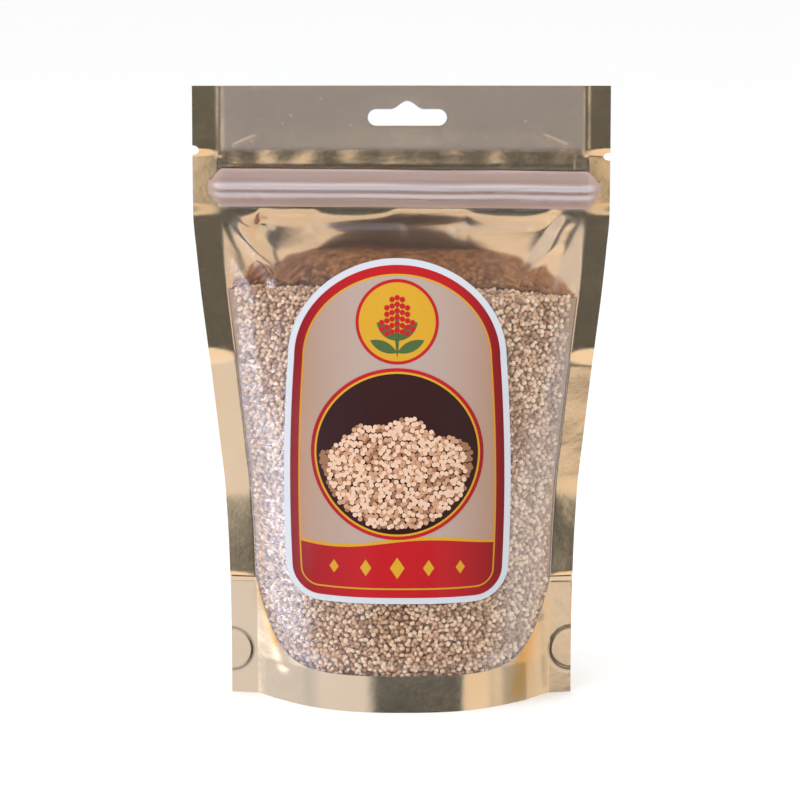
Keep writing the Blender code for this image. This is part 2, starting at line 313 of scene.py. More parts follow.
def hang_hole_outline():
    """The slot with a hump in the middle of its upper side."""
    centre_x, centre_z = HANG_HOLE_CENTRE
    radius = HANG_HOLE_HEIGHT / 2
    reach = HANG_HOLE_LENGTH / 2 - radius
    outline = []
    for k in range(PUNCH_STEPS + 1):
        turn = math.pi * (k / PUNCH_STEPS - 0.5)
        outline.append((centre_x + reach + radius * math.cos(turn), centre_z + radius * math.sin(turn)))
    for k in range(2 * PUNCH_STEPS + 1):
        share = 1 - k / PUNCH_STEPS
        hump = HUMP_HEIGHT * math.cos(math.pi * share / 2) ** 2
        outline.append((centre_x + HUMP_HALF_BREADTH * share, centre_z + radius + hump))
    for k in range(PUNCH_STEPS + 1):
        turn = math.pi * (k / PUNCH_STEPS + 0.5)
        outline.append((centre_x - reach + radius * math.cos(turn), centre_z + radius * math.sin(turn)))
    return outline


def notch_outline(side, height, half_height, depth):
    """An ellipse round the pouch's edge, of which the inner half is the tear notch."""
    edge = side * float(curve_through(SECTIONS, HALF_WIDTH, height))
    steps = 2 * PUNCH_STEPS
    turns = [2 * math.pi * k / steps for k in range(steps)]
    return [(edge + depth * math.cos(t), height + half_height * math.sin(t)) for t in turns]


def punch_out(piece, outlines):
    """Punches outlines right through a film along Y."""
    builder = bmesh.new()
    for outline in outlines:
        near = [builder.verts.new((x, -PUNCH_REACH, z)) for x, z in outline]
        far = [builder.verts.new((x, PUNCH_REACH, z)) for x, z in outline]
        builder.faces.new(near)
        builder.faces.new(list(reversed(far)))
        for k in range(len(outline)):
            after = (k + 1) % len(outline)
            builder.faces.new((near[after], near[k], far[k], far[after]))
    bmesh.ops.recalc_face_normals(builder, faces=builder.faces)
    mesh = bpy.data.meshes.new("punch")
    builder.to_mesh(mesh)
    builder.free()
    cutter = bpy.data.objects.new("punch", mesh)
    bpy.context.scene.collection.objects.link(cutter)
    modifier = piece.modifiers.new("punch", "BOOLEAN")
    modifier.operation = "DIFFERENCE"
    modifier.solver = "EXACT"
    modifier.object = cutter
    bpy.context.view_layer.update()
    cut = piece.evaluated_get(bpy.context.evaluated_depsgraph_get())
    piece.data = bpy.data.meshes.new_from_object(cut)
    piece.modifiers.clear()
    bpy.data.objects.remove(cutter)


# What a node group gives a material: label and kind of each output
SURFACE_OUTPUTS = (
    ("Color", "NodeSocketColor"),
    ("Roughness", "NodeSocketFloat"),
    ("Normal", "NodeSocketVector"),
)


def new_material(name):
    """An empty material with its Principled shader and its node tree."""
    material = bpy.data.materials.new(name)
    material.use_nodes = True
    tree = material.node_tree
    return material, tree, tree.nodes["Principled BSDF"]


def new_group(name, inputs, outputs=SURFACE_OUTPUTS):
    """A shader node group with float or colour inputs, and its input and output nodes."""
    group = bpy.data.node_groups.new(name, "ShaderNodeTree")
    for label, value in inputs:
        kind = "NodeSocketColor" if isinstance(value, tuple) else "NodeSocketFloat"
        socket = group.interface.new_socket(label, in_out="INPUT", socket_type=kind)
        socket.default_value = (*value, 1.0) if isinstance(value, tuple) else value
    for label, kind in outputs:
        group.interface.new_socket(label, in_out="OUTPUT", socket_type=kind)
    return group, group.nodes.new("NodeGroupInput"), group.nodes.new("NodeGroupOutput")


def feed(tree, value, socket):
    """Links a socket to another, or gives it a number, a vector or a colour."""
    if isinstance(value, bpy.types.NodeSocket):
        tree.links.new(value, socket)
    elif socket.type == "RGBA":
        socket.default_value = (*value, 1.0)
    else:
        socket.default_value = value


def feed_inputs(tree, node, **values):
    """Feeds a node's inputs by name, with _ for a space."""
    for label, value in values.items():
        feed(tree, value, node.inputs[label.replace("_", " ")])


def add_node(tree, kind, **values):
    """A node with its settings and its inputs given by name."""
    node = tree.nodes.new(kind)
    for label, value in values.items():
        if hasattr(node, label):
            setattr(node, label, value)
        else:
            feed(tree, value, node.inputs[label.replace("_", " ")])
    return node


def use_group(tree, group, **values):
    """Places a node group in a tree with its own values."""
    node = tree.nodes.new("ShaderNodeGroup")
    node.node_tree = group
    feed_inputs(tree, node, **values)
    return node


def calculate(tree, operation, *terms, clamp=False):
    """The result of a sum on sockets and numbers."""
    node = add_node(tree, "ShaderNodeMath", operation=operation, use_clamp=clamp)
    for term, socket in zip(terms, node.inputs):
        feed(tree, term, socket)
    return node.outputs[0]


def mix_colours(tree, factor, low, high):
    """A colour that goes from one to another as the factor goes from 0 to 1."""
    node = add_node(tree, "ShaderNodeMix", data_type="RGBA", Factor=factor)
    feed(tree, low, node.inputs[6])
    feed(tree, high, node.inputs[7])
    return node.outputs[2]


def place_in(tree):
    """Each point's place on the pouch, in metres."""
    return add_node(tree, "ShaderNodeTexCoord").outputs["Object"]


def put_on(tree, shader, surface):
    """Gives a shader the colour, roughness and normal of a node group."""
    feed_inputs(
        tree, shader, Base_Color=surface.outputs["Color"], Roughness=surface.outputs["Roughness"],
        Normal=surface.outputs["Normal"],
    )


# Where the unpressed header fades in: half widths from outside in, and heights from below up
HEADER_SIDE_FADE = (0.0530, 0.0515)
HEADER_FOOT_FADE = (0.1605, 0.1620)


def make_header_mask():
    """1 on the header between the side seals, where the films lie unpressed, and 0 elsewhere."""
    group, _, result = new_group("header_mask", (), (("Mask", "NodeSocketFloat"),))
    axes = add_node(group, "ShaderNodeSeparateXYZ", Vector=place_in(group))
    side = calculate(group, "ABSOLUTE", axes.outputs["X"])
    fades = []
    for distance, (start, end) in ((side, HEADER_SIDE_FADE), (axes.outputs["Z"], HEADER_FOOT_FADE)):
        fade = add_node(group, "ShaderNodeMapRange", Value=distance, From_Min=start, From_Max=end)
        fades.append(fade.outputs["Result"])
    feed_inputs(group, result, Mask=calculate(group, "MULTIPLY", *fades))
    return group


HEADER_MASK = make_header_mask()
SCUFF_HEIGHT = 0.04
SCUFF_DULLNESS = 0.10


def make_foil_creases():
    """The soft dents and fine scuffs of a thin metallised film that has been filled and handled."""
    group, given, result = new_group("foil_creases", (
        ("Dent Size", 60.0),
        ("Dent Height", 0.0004),
        ("Pale", (0.8, 0.6, 0.4)),
        ("Deep", (0.6, 0.4, 0.2)),
        ("Roughness", 0.25),
        ("Header Haze", 0.0),
    ))
    given = given.outputs
    dents = add_node(
        group, "ShaderNodeTexNoise", Vector=place_in(group), Scale=given["Dent Size"], Detail=3.0,
        Roughness=0.45, Distortion=0.6,
    ).outputs["Fac"]
    scuffs = add_node(group, "ShaderNodeTexNoise", Vector=place_in(group), Scale=900.0, Detail=2.0)
    scuffs = scuffs.outputs["Fac"]
    relief = calculate(group, "MULTIPLY_ADD", scuffs, SCUFF_HEIGHT, dents)
    bump = add_node(group, "ShaderNodeBump", Strength=1.0, Height=relief, Distance=given["Dent Height"])
    polish = calculate(group, "MULTIPLY_ADD", scuffs, SCUFF_DULLNESS, given["Roughness"])
    header = use_group(group, HEADER_MASK).outputs["Mask"]
    feed_inputs(
        group, result, Color=mix_colours(group, dents, given["Pale"], given["Deep"]),
        Roughness=calculate(group, "MULTIPLY_ADD", header, given["Header Haze"], polish),
        Normal=bump.outputs["Normal"],
    )
    return group


FOIL_CREASES = make_foil_creases()


def make_foil(name, pale, deep, roughness, dent_size, dent_height, header_haze=0.0):
    """A gold metallised film, glossy under its clear outer layer, and duller in the unpressed header."""
    material, tree, shader = new_material(name)
    creases = use_group(
        tree, FOIL_CREASES, Pale=pale, Deep=deep, Roughness=roughness, Dent_Size=dent_size,
        Dent_Height=dent_height, Header_Haze=header_haze,
    )
    put_on(tree, shader, creases)
    feed_inputs(tree, shader, Metallic=0.94, Coat_Weight=0.25, Coat_Roughness=0.12)
    return material


GOLD = make_foil("gold_foil", (0.80, 0.57, 0.35), (0.72, 0.49, 0.28), 0.12, 45.0, 0.0004, 0.08)

# Painted reflection: beside the crushed ends of the zip, where gold film mirrors gold film, the foil's
# colour is painted a deeper gold
SEALS_WITH_PAINTED_REFLECTION = (
    (-0.0570, 0.1460, -0.0570, 0.1590, 0.0045, 1.0),
    (0.0570, 0.1460, 0.0570, 0.1580, 0.0045, 1.0),
)


def store_on_points(mesh, name, values):
    """Stores a number on each point of a mesh, for its material to read."""
    attribute = mesh.attributes.new(name, "FLOAT", "POINT")
    attribute.data.foreach_set("value", values.astype(np.float32))


def store_on_sheet(mesh, name, values):
    """Stores a grid of numbers on both sides of a closed sheet."""
    store_on_points(mesh, name, np.tile(values.ravel(), 2))


def tint_by(material, name, colour):
    """Turns a material's colour to another where a number stored on its mesh is high."""
    tree = material.node_tree
    base = tree.nodes["Principled BSDF"].inputs["Base Color"]
    stored = add_node(tree, "ShaderNodeAttribute", attribute_name=name)
    feed(tree, mix_colours(tree, stored.outputs["Fac"], base.links[0].from_socket, colour), base)


def foil_place(x, height):
    """How far the back foil lies behind the seals, with what its zip and its header do to it."""
    straight = np.zeros_like(x)
    for middle, half_breadth in STRAIGHT_PLACES:
        straight = np.maximum(straight, np.sqrt(np.clip(1 - ((x - middle) / half_breadth) ** 2, 0, 1)))
    shift = UNDER_ZIP_SHIFT * (1 - STRAIGHT_PULL * straight)
    shift = shift * smooth_step((UNDER_ZIP - height) / UNDER_ZIP_EDGE)
    shift = shift * smooth_step((height - UNDER_ZIP_START) / UNDER_ZIP_EASE)
    push = np.clip((ZIP_PUSH_TOP - height) / (ZIP_PUSH_TOP - ZIP_PUSH_FOOT), 0, 1)
    push = push * smooth_step((height - ZIP_PUSH_START) / ZIP_PUSH_EASE)
    waver = ripple(x, ZIP_PUSH_WAVER_STRETCH * height, ZIP_PUSH_WAVER_SIZE, 8.0)
    push = ZIP_PUSH * push * (1.0 + ZIP_PUSH_WAVER * waver)
    header = fold_relief(x, height, HEADER_FOLDS)
    inside = np.clip(ZIP_PUSH_RISE * (1 - np.abs(across_panel(x, height))), 0, 1)
    return back_depth(x, height - shift) + push * inside + header


rows = np.concatenate([
    np.linspace(0, HEADSPACE_START, BELLY_ROWS, endpoint=False),
    np.linspace(HEADSPACE_START, POUCH_HEIGHT, HEADSPACE_ROWS),
])
back_x = np.array([film_columns(z, PANEL_COLUMNS, SEAL_COLUMNS) for z in rows])
back_z = np.repeat(rows[:, None], back_x.shape[1], axis=1)
back_wave = FOIL_WAVE * ripple(back_x, back_z, FOIL_WAVE_SIZE, 3.0)
back_y = foil_place(back_x, back_z) + sway(back_x, back_z) + back_wave
foil_inner = np.stack([back_x, back_y + WELD_GAP - FILM_THICKNESS, back_z], axis=2)
foil_outer = np.stack([back_x, back_y + WELD_GAP - SKIN_GAP, back_z], axis=2)
foil_mesh = sheet_mesh("back_foil", foil_inner, foil_outer)
# Painted reflection: the foil's colour turns deeper gold beside the zip's crushed ends
tint_by(GOLD, "painted_gold_reflection", (0.74, 0.47, 0.24))
store_on_sheet(foil_mesh, "painted_gold_reflection", fold_relief(back_x, back_z, SEALS_WITH_PAINTED_REFLECTION))
back_foil = place("back_foil", foil_mesh, GOLD)
punch_out(
    back_foil,
    [hang_hole_outline(), notch_outline(-1, *LEFT_NOTCH), notch_outline(1, *RIGHT_NOTCH)],
)
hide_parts("pouch")


# Bottom gusset
# A strip of the same gold film, welded to the foot of both panels: it makes the skirt that the
# pouch stands on, and its folded middle opens under the seed.

# Folds of the front film and the skirt, in the same terms as those of the back foil
FRONT_FOLDS = (
    (-0.0515, 0.1405, -0.0395, 0.1235, 0.0022, -0.0012),
    (-0.0490, 0.1270, -0.0400, 0.1190, 0.0030, 0.0010),
    (-0.0250, 0.1385, -0.0010, 0.1390, 0.0022, 0.0016),
    (0.0160, 0.1385, 0.0350, 0.1380, 0.0022, 0.0016),
    (0.0370, 0.1390, 0.0450, 0.1385, 0.0018, 0.0012),
    (0.0530, 0.1340, 0.0460, 0.1220, 0.0024, -0.0010),
    (-0.0390, 0.0260, -0.0345, 0.0110, 0.0018, -0.0002),
    (0.0400, 0.0230, 0.0415, 0.0020, 0.0014, -0.0009),
    (0.0355, 0.0160, 0.0360, 0.0000, 0.0020, 0.0005),
    (0.0270, 0.0120, 0.0275, 0.0000, 0.0026, -0.0002),
)
FOOT_TUCK = 0.0005
FOOT_TUCK_HEIGHT = 0.0115
FOOT_TUCK_DEPTH = 0.004
GUSSET_SAG = 0.0009
GUSSET_SQUARENESS = 4
GUSSET_DROP = 0.0012
GUSSET_LEAST_SHARE = 0.5
FRONT_LEAF_ROWS = 80
FRONT_LEAF_END = 0.002
FLOOR_ROWS = 20
BACK_LEAF_ROWS = 16
BACK_LEAF_INSET = 1.2 * FILM_THICKNESS
SKIRT_COLUMNS = 110
SKIRT_SEAL_COLUMNS = 30
CORNER_WELD_RADIUS = 0.0063
CORNER_WELD_HEIGHT = 0.0131
CORNER_WELD_BREADTH = 0.00040
CORNER_WELD_DEPTH = 0.00010
CORNER_WELD_PAINTED_SHADE = 0.85


def front_depth(x, height):
    """How far the outside of the front film lies before the plane of the seals."""
    return panel_depth(x, height, FRONT_DEPTH, FRONT_FOLDS)


def corner_weld(x, height):
    """The pressed ring round the spot weld in each bottom corner, 1 on its line."""
    half_width = curve_through(SECTIONS, HALF_WIDTH, height)
    away = np.hypot(np.abs(x) - half_width, height - CORNER_WELD_HEIGHT) - CORNER_WELD_RADIUS
    return np.exp(-((away / CORNER_WELD_BREADTH) ** 2))


def gusset_sheet():
    """The gusset's path from the front edge up to the seam, over the floor and down at the back."""
    columns = film_columns(0.0, SKIRT_COLUMNS, SKIRT_SEAL_COLUMNS)
    across = across_panel(columns, np.zeros_like(columns))
    seam = gusset_seam(across)
    near = []
    far = []
    for share in np.linspace(0, 1, FRONT_LEAF_ROWS):
        height = seam * share
        outside = front_depth(columns, height) + WELD_GAP
        inward = FOOT_TUCK * np.clip(1 - height / FOOT_TUCK_HEIGHT, 0, 1)
        outside = outside - inward * np.clip(outside / FOOT_TUCK_DEPTH, 0, 1)
        outside = outside - CORNER_WELD_DEPTH * corner_weld(columns, height)
        back = sway(columns, height)
        near.append(np.stack([columns, back - outside + SKIN_GAP, height], axis=1))
        far.append(np.stack([columns, back - outside + FILM_THICKNESS, height], axis=1))
    front_y = front_depth(columns, seam) + WELD_GAP - FILM_THICKNESS
    back_y = back_depth(columns, seam) + WELD_GAP - 2 * FILM_THICKNESS
    for share in np.linspace(0, 1, FLOOR_ROWS)[1:-1]:
        y = sway(columns, seam) - front_y + (front_y + back_y) * share
        sag = GUSSET_SAG * (1 - (2 * share - 1) ** 2)
        sag = sag * (1 - np.abs(across) ** GUSSET_SQUARENESS).clip(0, 1)
        floor = np.maximum(seam - GUSSET_DROP - sag, GUSSET_LEAST_SHARE * seam)
        near.append(np.stack([columns, y, floor], axis=1))
        far.append(np.stack([columns, y, floor - FILM_THICKNESS], axis=1))
    for share in np.linspace(1, 0, BACK_LEAF_ROWS):
        height = seam * share
        inside = back_depth(columns, height) + WELD_GAP - BACK_LEAF_INSET
        back = sway(columns, height)
        near.append(np.stack([columns, back + inside, height], axis=1))
        far.append(np.stack([columns, back + inside - FILM_THICKNESS, height], axis=1))
    return np.array(near), np.array(far)


SKIRT_GOLD = make_foil("skirt_gold", (0.76, 0.58, 0.40), (0.66, 0.47, 0.29), 0.07, 40.0, 0.00018)
# Painted reflection: deeper gold in the skirt's folds where gold film mirrors gold film
tint_by(SKIRT_GOLD, "painted_gold_reflection", (0.68, 0.37, 0.125))
# Painted shade: dark taupe along the pressed weld ring in each bottom corner
tint_by(SKIRT_GOLD, "shade", (0.20, 0.13, 0.10))

# Folds of the skirt in which gold film mirrors gold film, painted a deeper gold there as a painted
# reflection
FOLDS_WITH_PAINTED_REFLECTION = (
    (-0.0408, 0.0310, -0.0366, 0.0170, 0.0015, 1.0),
    (0.0380, 0.0270, 0.0338, 0.0030, 0.0029, 1.0),
)
gusset_near, gusset_far = gusset_sheet()
gusset_mesh = sheet_mesh("gusset_film", gusset_near, gusset_far)
gusset_x, gusset_y, gusset_z = np.moveaxis(gusset_near, 2, 0)
at_front = gusset_y < FRONT_LEAF_END
# The weld ring's painted shade, on the front leaf of the gusset only
store_on_sheet(gusset_mesh, "shade", CORNER_WELD_PAINTED_SHADE * at_front * corner_weld(gusset_x, gusset_z))
store_on_sheet(gusset_mesh, "painted_gold_reflection", at_front * fold_relief(gusset_x, gusset_z, FOLDS_WITH_PAINTED_REFLECTION))
place("gusset_film", gusset_mesh, SKIRT_GOLD)


# Press zip
# A strip of milky plastic with two interlocking ridges, welded between the films under the header.
# Both ends are crushed flat in the side seals.
ZIP_LEFT_END = -0.0554
ZIP_RIGHT_END = 0.0572
ZIP_MIDDLE_HEIGHT = 0.1502
ZIP_SLOPE = -0.009
ZIP_HALF_HEIGHT = 0.0055
ZIP_CRUSH_LENGTH = 0.0040
ZIP_CRUSHED_SHARE = 0.35
ZIP_EDGE_SHARE = 0.25
ZIP_EDGE_EASE = 0.0006
ZIP_RIDGES = ((0.0005, 0.00100), (-0.0021, 0.00075))
ZIP_RIDGE_SPREAD = 1.05
ZIP_STRIP = 0.00035
ZIP_SEAT = 0.0008
ZIP_WAVER = 0.00012
ZIP_WAVER_LENGTH = 0.02
ZIP_COLUMNS = 150
ZIP_ROWS = 60
ZIP_THIN_COLOUR = (0.35, 0.22, 0.165)
# The pale colour is partly the milkier thick plastic and partly a painted highlight on the ridges
ZIP_MILKY_AND_HIGHLIGHT_COLOUR = (0.50, 0.43, 0.44)
ZIP_CLOUDINESS = 0.30
ZIP_TOP_PALENESS = 0.20
ZIP_TOP_START = 0.0022
ZIP_TOP_EASE = 0.0010


def zip_fullness(x):
    """1 where the zip has its whole section, and 0 at its crushed ends."""
    return smooth_step(np.minimum(x - ZIP_LEFT_END, ZIP_RIGHT_END - x) / ZIP_CRUSH_LENGTH)


def zip_surface(x, offset):
    """How far the front of the zip stands before its back, at a distance above its middle line."""
    fullness = zip_fullness(x)
    stand = np.zeros_like(x)
    for middle, radius in ZIP_RIDGES:
        away = (offset - middle) / (ZIP_RIDGE_SPREAD * radius)
        stand = stand + radius * np.exp(-(away**4))
    strip = ZIP_STRIP * (ZIP_CRUSHED_SHARE + (1 - ZIP_CRUSHED_SHARE) * fullness)
    edge = smooth_step((ZIP_HALF_HEIGHT - np.abs(offset)) / ZIP_EDGE_EASE)
    return (strip + stand * fullness) * (ZIP_EDGE_SHARE + (1 - ZIP_EDGE_SHARE) * edge)


def zip_paleness(places, offset):
    """How pale the zip is: its thick ridges are paler, partly as thicker plastic is milkier and partly as a
    painted highlight on their crests, and its top is paler than the rest of its strip.
    """
    pale = (zip_surface(places, offset) - ZIP_STRIP) / ZIP_RIDGES[0][1]
    top = ZIP_TOP_PALENESS * smooth_step((offset - ZIP_TOP_START) / ZIP_TOP_EASE)
    return np.clip(pale, 0.0, 1.0) + top


def zip_sheet():
    """The zip's front and back as two grids of points."""
    x = np.linspace(ZIP_LEFT_END, ZIP_RIGHT_END, ZIP_COLUMNS)
    share = np.linspace(-1, 1, ZIP_ROWS)
    pinch = ZIP_CRUSHED_SHARE + (1 - ZIP_CRUSHED_SHARE) * zip_fullness(x)
    offset = ZIP_HALF_HEIGHT * share[:, None] * pinch[None, :]
    places = np.repeat(x[None, :], len(share), axis=0)
    waver = ZIP_WAVER * ripple(places, np.zeros_like(places), ZIP_WAVER_LENGTH, 9.0)
    height = ZIP_MIDDLE_HEIGHT + ZIP_SLOPE * places + offset + waver
    seat = sway(places, height) - ZIP_SEAT
    near = np.stack([places, seat - zip_surface(places, offset), height], axis=2)
    far = np.stack([places, seat, height], axis=2)
    return near, far, zip_paleness(places, offset)


def make_zip_plastic():
    """Milky polyethylene, cloudy along its length, palest where it is thick, and with a painted highlight on
    its ridges' crests.
    """
    material, tree, shader = new_material("zip_plastic")
    drawn_out = add_node(tree, "ShaderNodeMapping", Vector=place_in(tree), Scale=(0.08, 1.0, 1.0))
    cloud = add_node(tree, "ShaderNodeTexNoise", Vector=drawn_out.outputs["Vector"], Scale=420.0, Detail=3.0)
    cloud = cloud.outputs["Fac"]
    thick = add_node(tree, "ShaderNodeAttribute", attribute_name="shade").outputs["Fac"]
    milky_and_highlight = calculate(tree, "MULTIPLY_ADD", cloud, ZIP_CLOUDINESS, thick, clamp=True)
    bump = add_node(tree, "ShaderNodeBump", Strength=0.5, Distance=0.0002, Height=cloud)
    feed_inputs(
        tree, shader, Base_Color=mix_colours(tree, milky_and_highlight, ZIP_THIN_COLOUR, ZIP_MILKY_AND_HIGHLIGHT_COLOUR),
        Normal=bump.outputs["Normal"], Roughness=0.34, Subsurface_Weight=0.15,
        Subsurface_Radius=(0.002, 0.0015, 0.001), Coat_Weight=0.4, Coat_Roughness=0.15,
    )
    return material


zip_near, zip_far, zip_shade = zip_sheet()
zip_mesh = sheet_mesh("zip_strip", zip_near, zip_far)
# The zip's paleness, which is partly a painted highlight on its ridges
store_on_sheet(zip_mesh, "shade", zip_shade)
zip_strip = place("zip_strip", zip_mesh, make_zip_plastic())
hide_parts("zipper")


# Quinoa seed
# Loose dry seed, poured in from the gusset up to a nearly level top. The core is the mass of seed
# that can't be told apart, and the seeds that show lie over it: plump rounds with a blunt rim.
FILL_HEIGHT = 0.1200
FILL_SLOPE_ACROSS = -0.026
FILL_SLOPE_BACK = -0.02
HEAP_WAVES = ((0.0007, 0.016, 5.0), (0.0003, 0.005, 6.0))
CORE_DEPTH = 0.0022
CORE_BACK_DEPTH = 0.0006
CORE_LEAST_FRONT = 0.0001
CORE_LEAST_BACK = 0.0002
CORE_SINK = 0.0008
CORE_FOOT = 0.0010
SEED_ACROSS = 0.985
CORE_GRID = 80


def fill_height(x, y):
    """The height of the top of the seed, uneven, and a little higher at the left and the front."""
    level = FILL_HEIGHT + FILL_SLOPE_ACROSS * x + FILL_SLOPE_BACK * y
    return level + sum(height * ripple(x, y, size, seed) for height, size, seed in HEAP_WAVES)


def between_seals(columns, height):
    """The x of columns that run from -1 at the left seal to 1 at the right one."""
    left, right = panel_edges(height)
    return (left + right + columns * (right - left)) / 2


def core_sheet():
    """The front and back of the core, from its foot up to just under the loose seeds on top."""
    columns = np.linspace(-SEED_ACROSS, SEED_ACROSS, CORE_GRID)
    near = []
    far = []
    foot = gusset_seam(columns) - CORE_FOOT
    foot_x = between_seals(columns, foot)
    top = fill_height(foot_x, np.zeros_like(foot_x)) - CORE_SINK
    for share in np.linspace(0, 1, CORE_GRID):
        height = foot + (top - foot) * share
        x = between_seals(columns, height)
        front = np.maximum(front_depth(x, height) - CORE_DEPTH, CORE_LEAST_FRONT)
        back = np.maximum(back_depth(x, height) - CORE_BACK_DEPTH, CORE_LEAST_BACK)
        near.append(np.stack([x, -front, height], axis=1))
        far.append(np.stack([x, back, height], axis=1))
    return np.array(near), np.array(far)


PATCH_CONTRAST = 0.5
SKIN_ROUGHNESS = 0.45
SKIN_ROUGHNESS_SPREAD = 0.25
EVEN_SHADE = 0.25


def make_seed_skin():
    """The dusty matt skin of a dry seed: patchy colour and a fine grain."""
    group, given, result = new_group("seed_skin", (
        ("Pale", (0.7, 0.6, 0.4)),
        ("Deep", (0.4, 0.3, 0.2)),
        ("Shade", 0.5),
        ("Patch Size", 900.0),
    ))
    given = given.outputs
    patches = add_node(
        group, "ShaderNodeTexNoise", Vector=place_in(group), Scale=given["Patch Size"], Detail=2.0,
    ).outputs["Fac"]
    blend = calculate(group, "MULTIPLY_ADD", patches, PATCH_CONTRAST, given["Shade"])
    bump = add_node(group, "ShaderNodeBump", Strength=0.4, Distance=0.0001, Height=patches)
    feed_inputs(
        group, result, Color=mix_colours(group, blend, given["Pale"], given["Deep"]),
        Roughness=calculate(group, "MULTIPLY_ADD", patches, SKIN_ROUGHNESS_SPREAD, SKIN_ROUGHNESS),
        Normal=bump.outputs["Normal"],
    )
    return group


SEED_SKIN = make_seed_skin()


def make_seed_material(name, pale, deep, patch_size, shade_name=None):
    """Seed colour, which may be shifted by a shade stored on each seed."""
    material, tree, shader = new_material(name)
    skin = use_group(tree, SEED_SKIN, Pale=pale, Deep=deep, Shade=EVEN_SHADE, Patch_Size=patch_size)
    if shade_name:
        shade = add_node(tree, "ShaderNodeAttribute", attribute_name=shade_name)
        feed_inputs(tree, skin, Shade=shade.outputs["Fac"])
    put_on(tree, shader, skin)
    return material


# The core is coloured darker than any seed: painted shade for the deep gaps between the seeds that show
core_near, core_far = core_sheet()
place(
    "quinoa_core", sheet_mesh("quinoa_core", core_near, core_far),
    make_seed_material("seed_core_painted_shade", (0.46, 0.32, 0.22), (0.26, 0.16, 0.10), 600.0),
)

# A seed's radius in metres, how sizes, lengths and shades vary, and the rings of a seed of radius 1
SEED_RADIUS = 0.00088
SEED_SIZES = (0.86, 1.08)
SEED_LENGTHS = (0.92, 1.06)
SEED_SHADES = (0.0, 0.6)
SEED_SEGMENTS = 7
SEED_PROFILE = ((0.66, 0.50), (1.0, 0.0), (0.66, -0.50))
SEED_CROWN = 0.66

# The pitch of each layer of seeds against the front film, and its depth behind the film
SEED_LAYERS = ((0.00152, 0.00105), (0.00168, 0.00190))
LAYER_FOOT = 0.0002
LAYER_TOP = 0.128
LAYER_SHIFT = 0.32
LAYER_DEPTHS = (-0.00015, 0.0003)
LEAST_ROOM = 0.0024
ROW_SHARE = 0.87

# The seeds on the top of the heap: their pitch, where their rows start, and the room round them
TOP_PITCH = 0.0015
TOP_SHIFT = 0.3
TOP_SINK = 0.0006
TOP_LIFTS = (-0.0004, 0.0005)
TOP_START_X = -0.060
TOP_START_Y = -0.020
TOP_ROWS = 60
TOP_COLUMNS = 90
TOP_FRONT_ROOM = 0.0018
TOP_BACK_ROOM = 0.0010


def seed_shape():
    """One seed of radius 1: a plump round, a little flattened, with a blunt rim."""
    points = [(0.0, 0.0, SEED_CROWN)]
    for radius, height in SEED_PROFILE:
        for k in range(SEED_SEGMENTS):
            turn = 2 * math.pi * k / SEED_SEGMENTS
            points.append((radius * math.cos(turn), radius * math.sin(turn), height))
    points.append((0.0, 0.0, -SEED_CROWN))
    faces = []
    last = len(points) - 1
    for k in range(SEED_SEGMENTS):
        after = (k + 1) % SEED_SEGMENTS
        faces.append((0, 1 + k, 1 + after))
        for ring in range(len(SEED_PROFILE) - 1):
            low = 1 + ring * SEED_SEGMENTS
            high = low + SEED_SEGMENTS
            faces.append((low + k, high + k, high + after))
            faces.append((low + k, high + after, low + after))
        tail = last - SEED_SEGMENTS
        faces.append((last, tail + after, tail + k))
    return np.array(points), np.array(faces)


def seed_places():
    """Centres of the seeds that show: two layers against the front film, and the top of the heap."""
    chance = random.Random(7)
    centres = []
    for pitch, depth in SEED_LAYERS:
        row_step = pitch * ROW_SHARE
        for j in range(int((LAYER_TOP - SEAM_MIDDLE_HEIGHT) / row_step)):
            z = SEAM_MIDDLE_HEIGHT + LAYER_FOOT + j * row_step
            half = float(curve_through(SECTIONS, HALF_WIDTH, z))
            for i in range(int(2 * half / pitch)):
                x = -half + (i + 0.5 * (j % 2)) * pitch + chance.uniform(-LAYER_SHIFT, LAYER_SHIFT) * pitch
                up = z + chance.uniform(-LAYER_SHIFT, LAYER_SHIFT) * pitch
                centres.append((x, up, depth + chance.uniform(*LAYER_DEPTHS)))
    x, z, depth = np.array(centres).T
    across = across_panel(x, z)
    front = front_depth(x, z)
    keep = (np.abs(across) < SEED_ACROSS) & (front + back_depth(x, z) > LEAST_ROOM)
    keep = keep & (z < fill_height(x, np.zeros_like(x))) & (z > gusset_seam(across) - LAYER_FOOT)
    front_layers = np.stack([x, -front + depth, z], axis=1)[keep]
    top = []
    for j in range(TOP_ROWS):
        for i in range(TOP_COLUMNS):
            x = TOP_START_X + (i + 0.5 * (j % 2)) * TOP_PITCH
            x = x + chance.uniform(-TOP_SHIFT, TOP_SHIFT) * TOP_PITCH
            y = TOP_START_Y + j * TOP_PITCH * ROW_SHARE
            y = y + chance.uniform(-TOP_SHIFT, TOP_SHIFT) * TOP_PITCH
            top.append((x, y, chance.uniform(*TOP_LIFTS)))
    x, y, lift = np.array(top).T
    level = fill_height(x, y)
    inside = y > -front_depth(x, level) + TOP_FRONT_ROOM
    inside = inside & (y < back_depth(x, level) - TOP_BACK_ROOM)
    top_layer = np.stack([x, y, level - TOP_SINK + lift], axis=1)[inside]
    return np.concatenate([front_layers, top_layer])


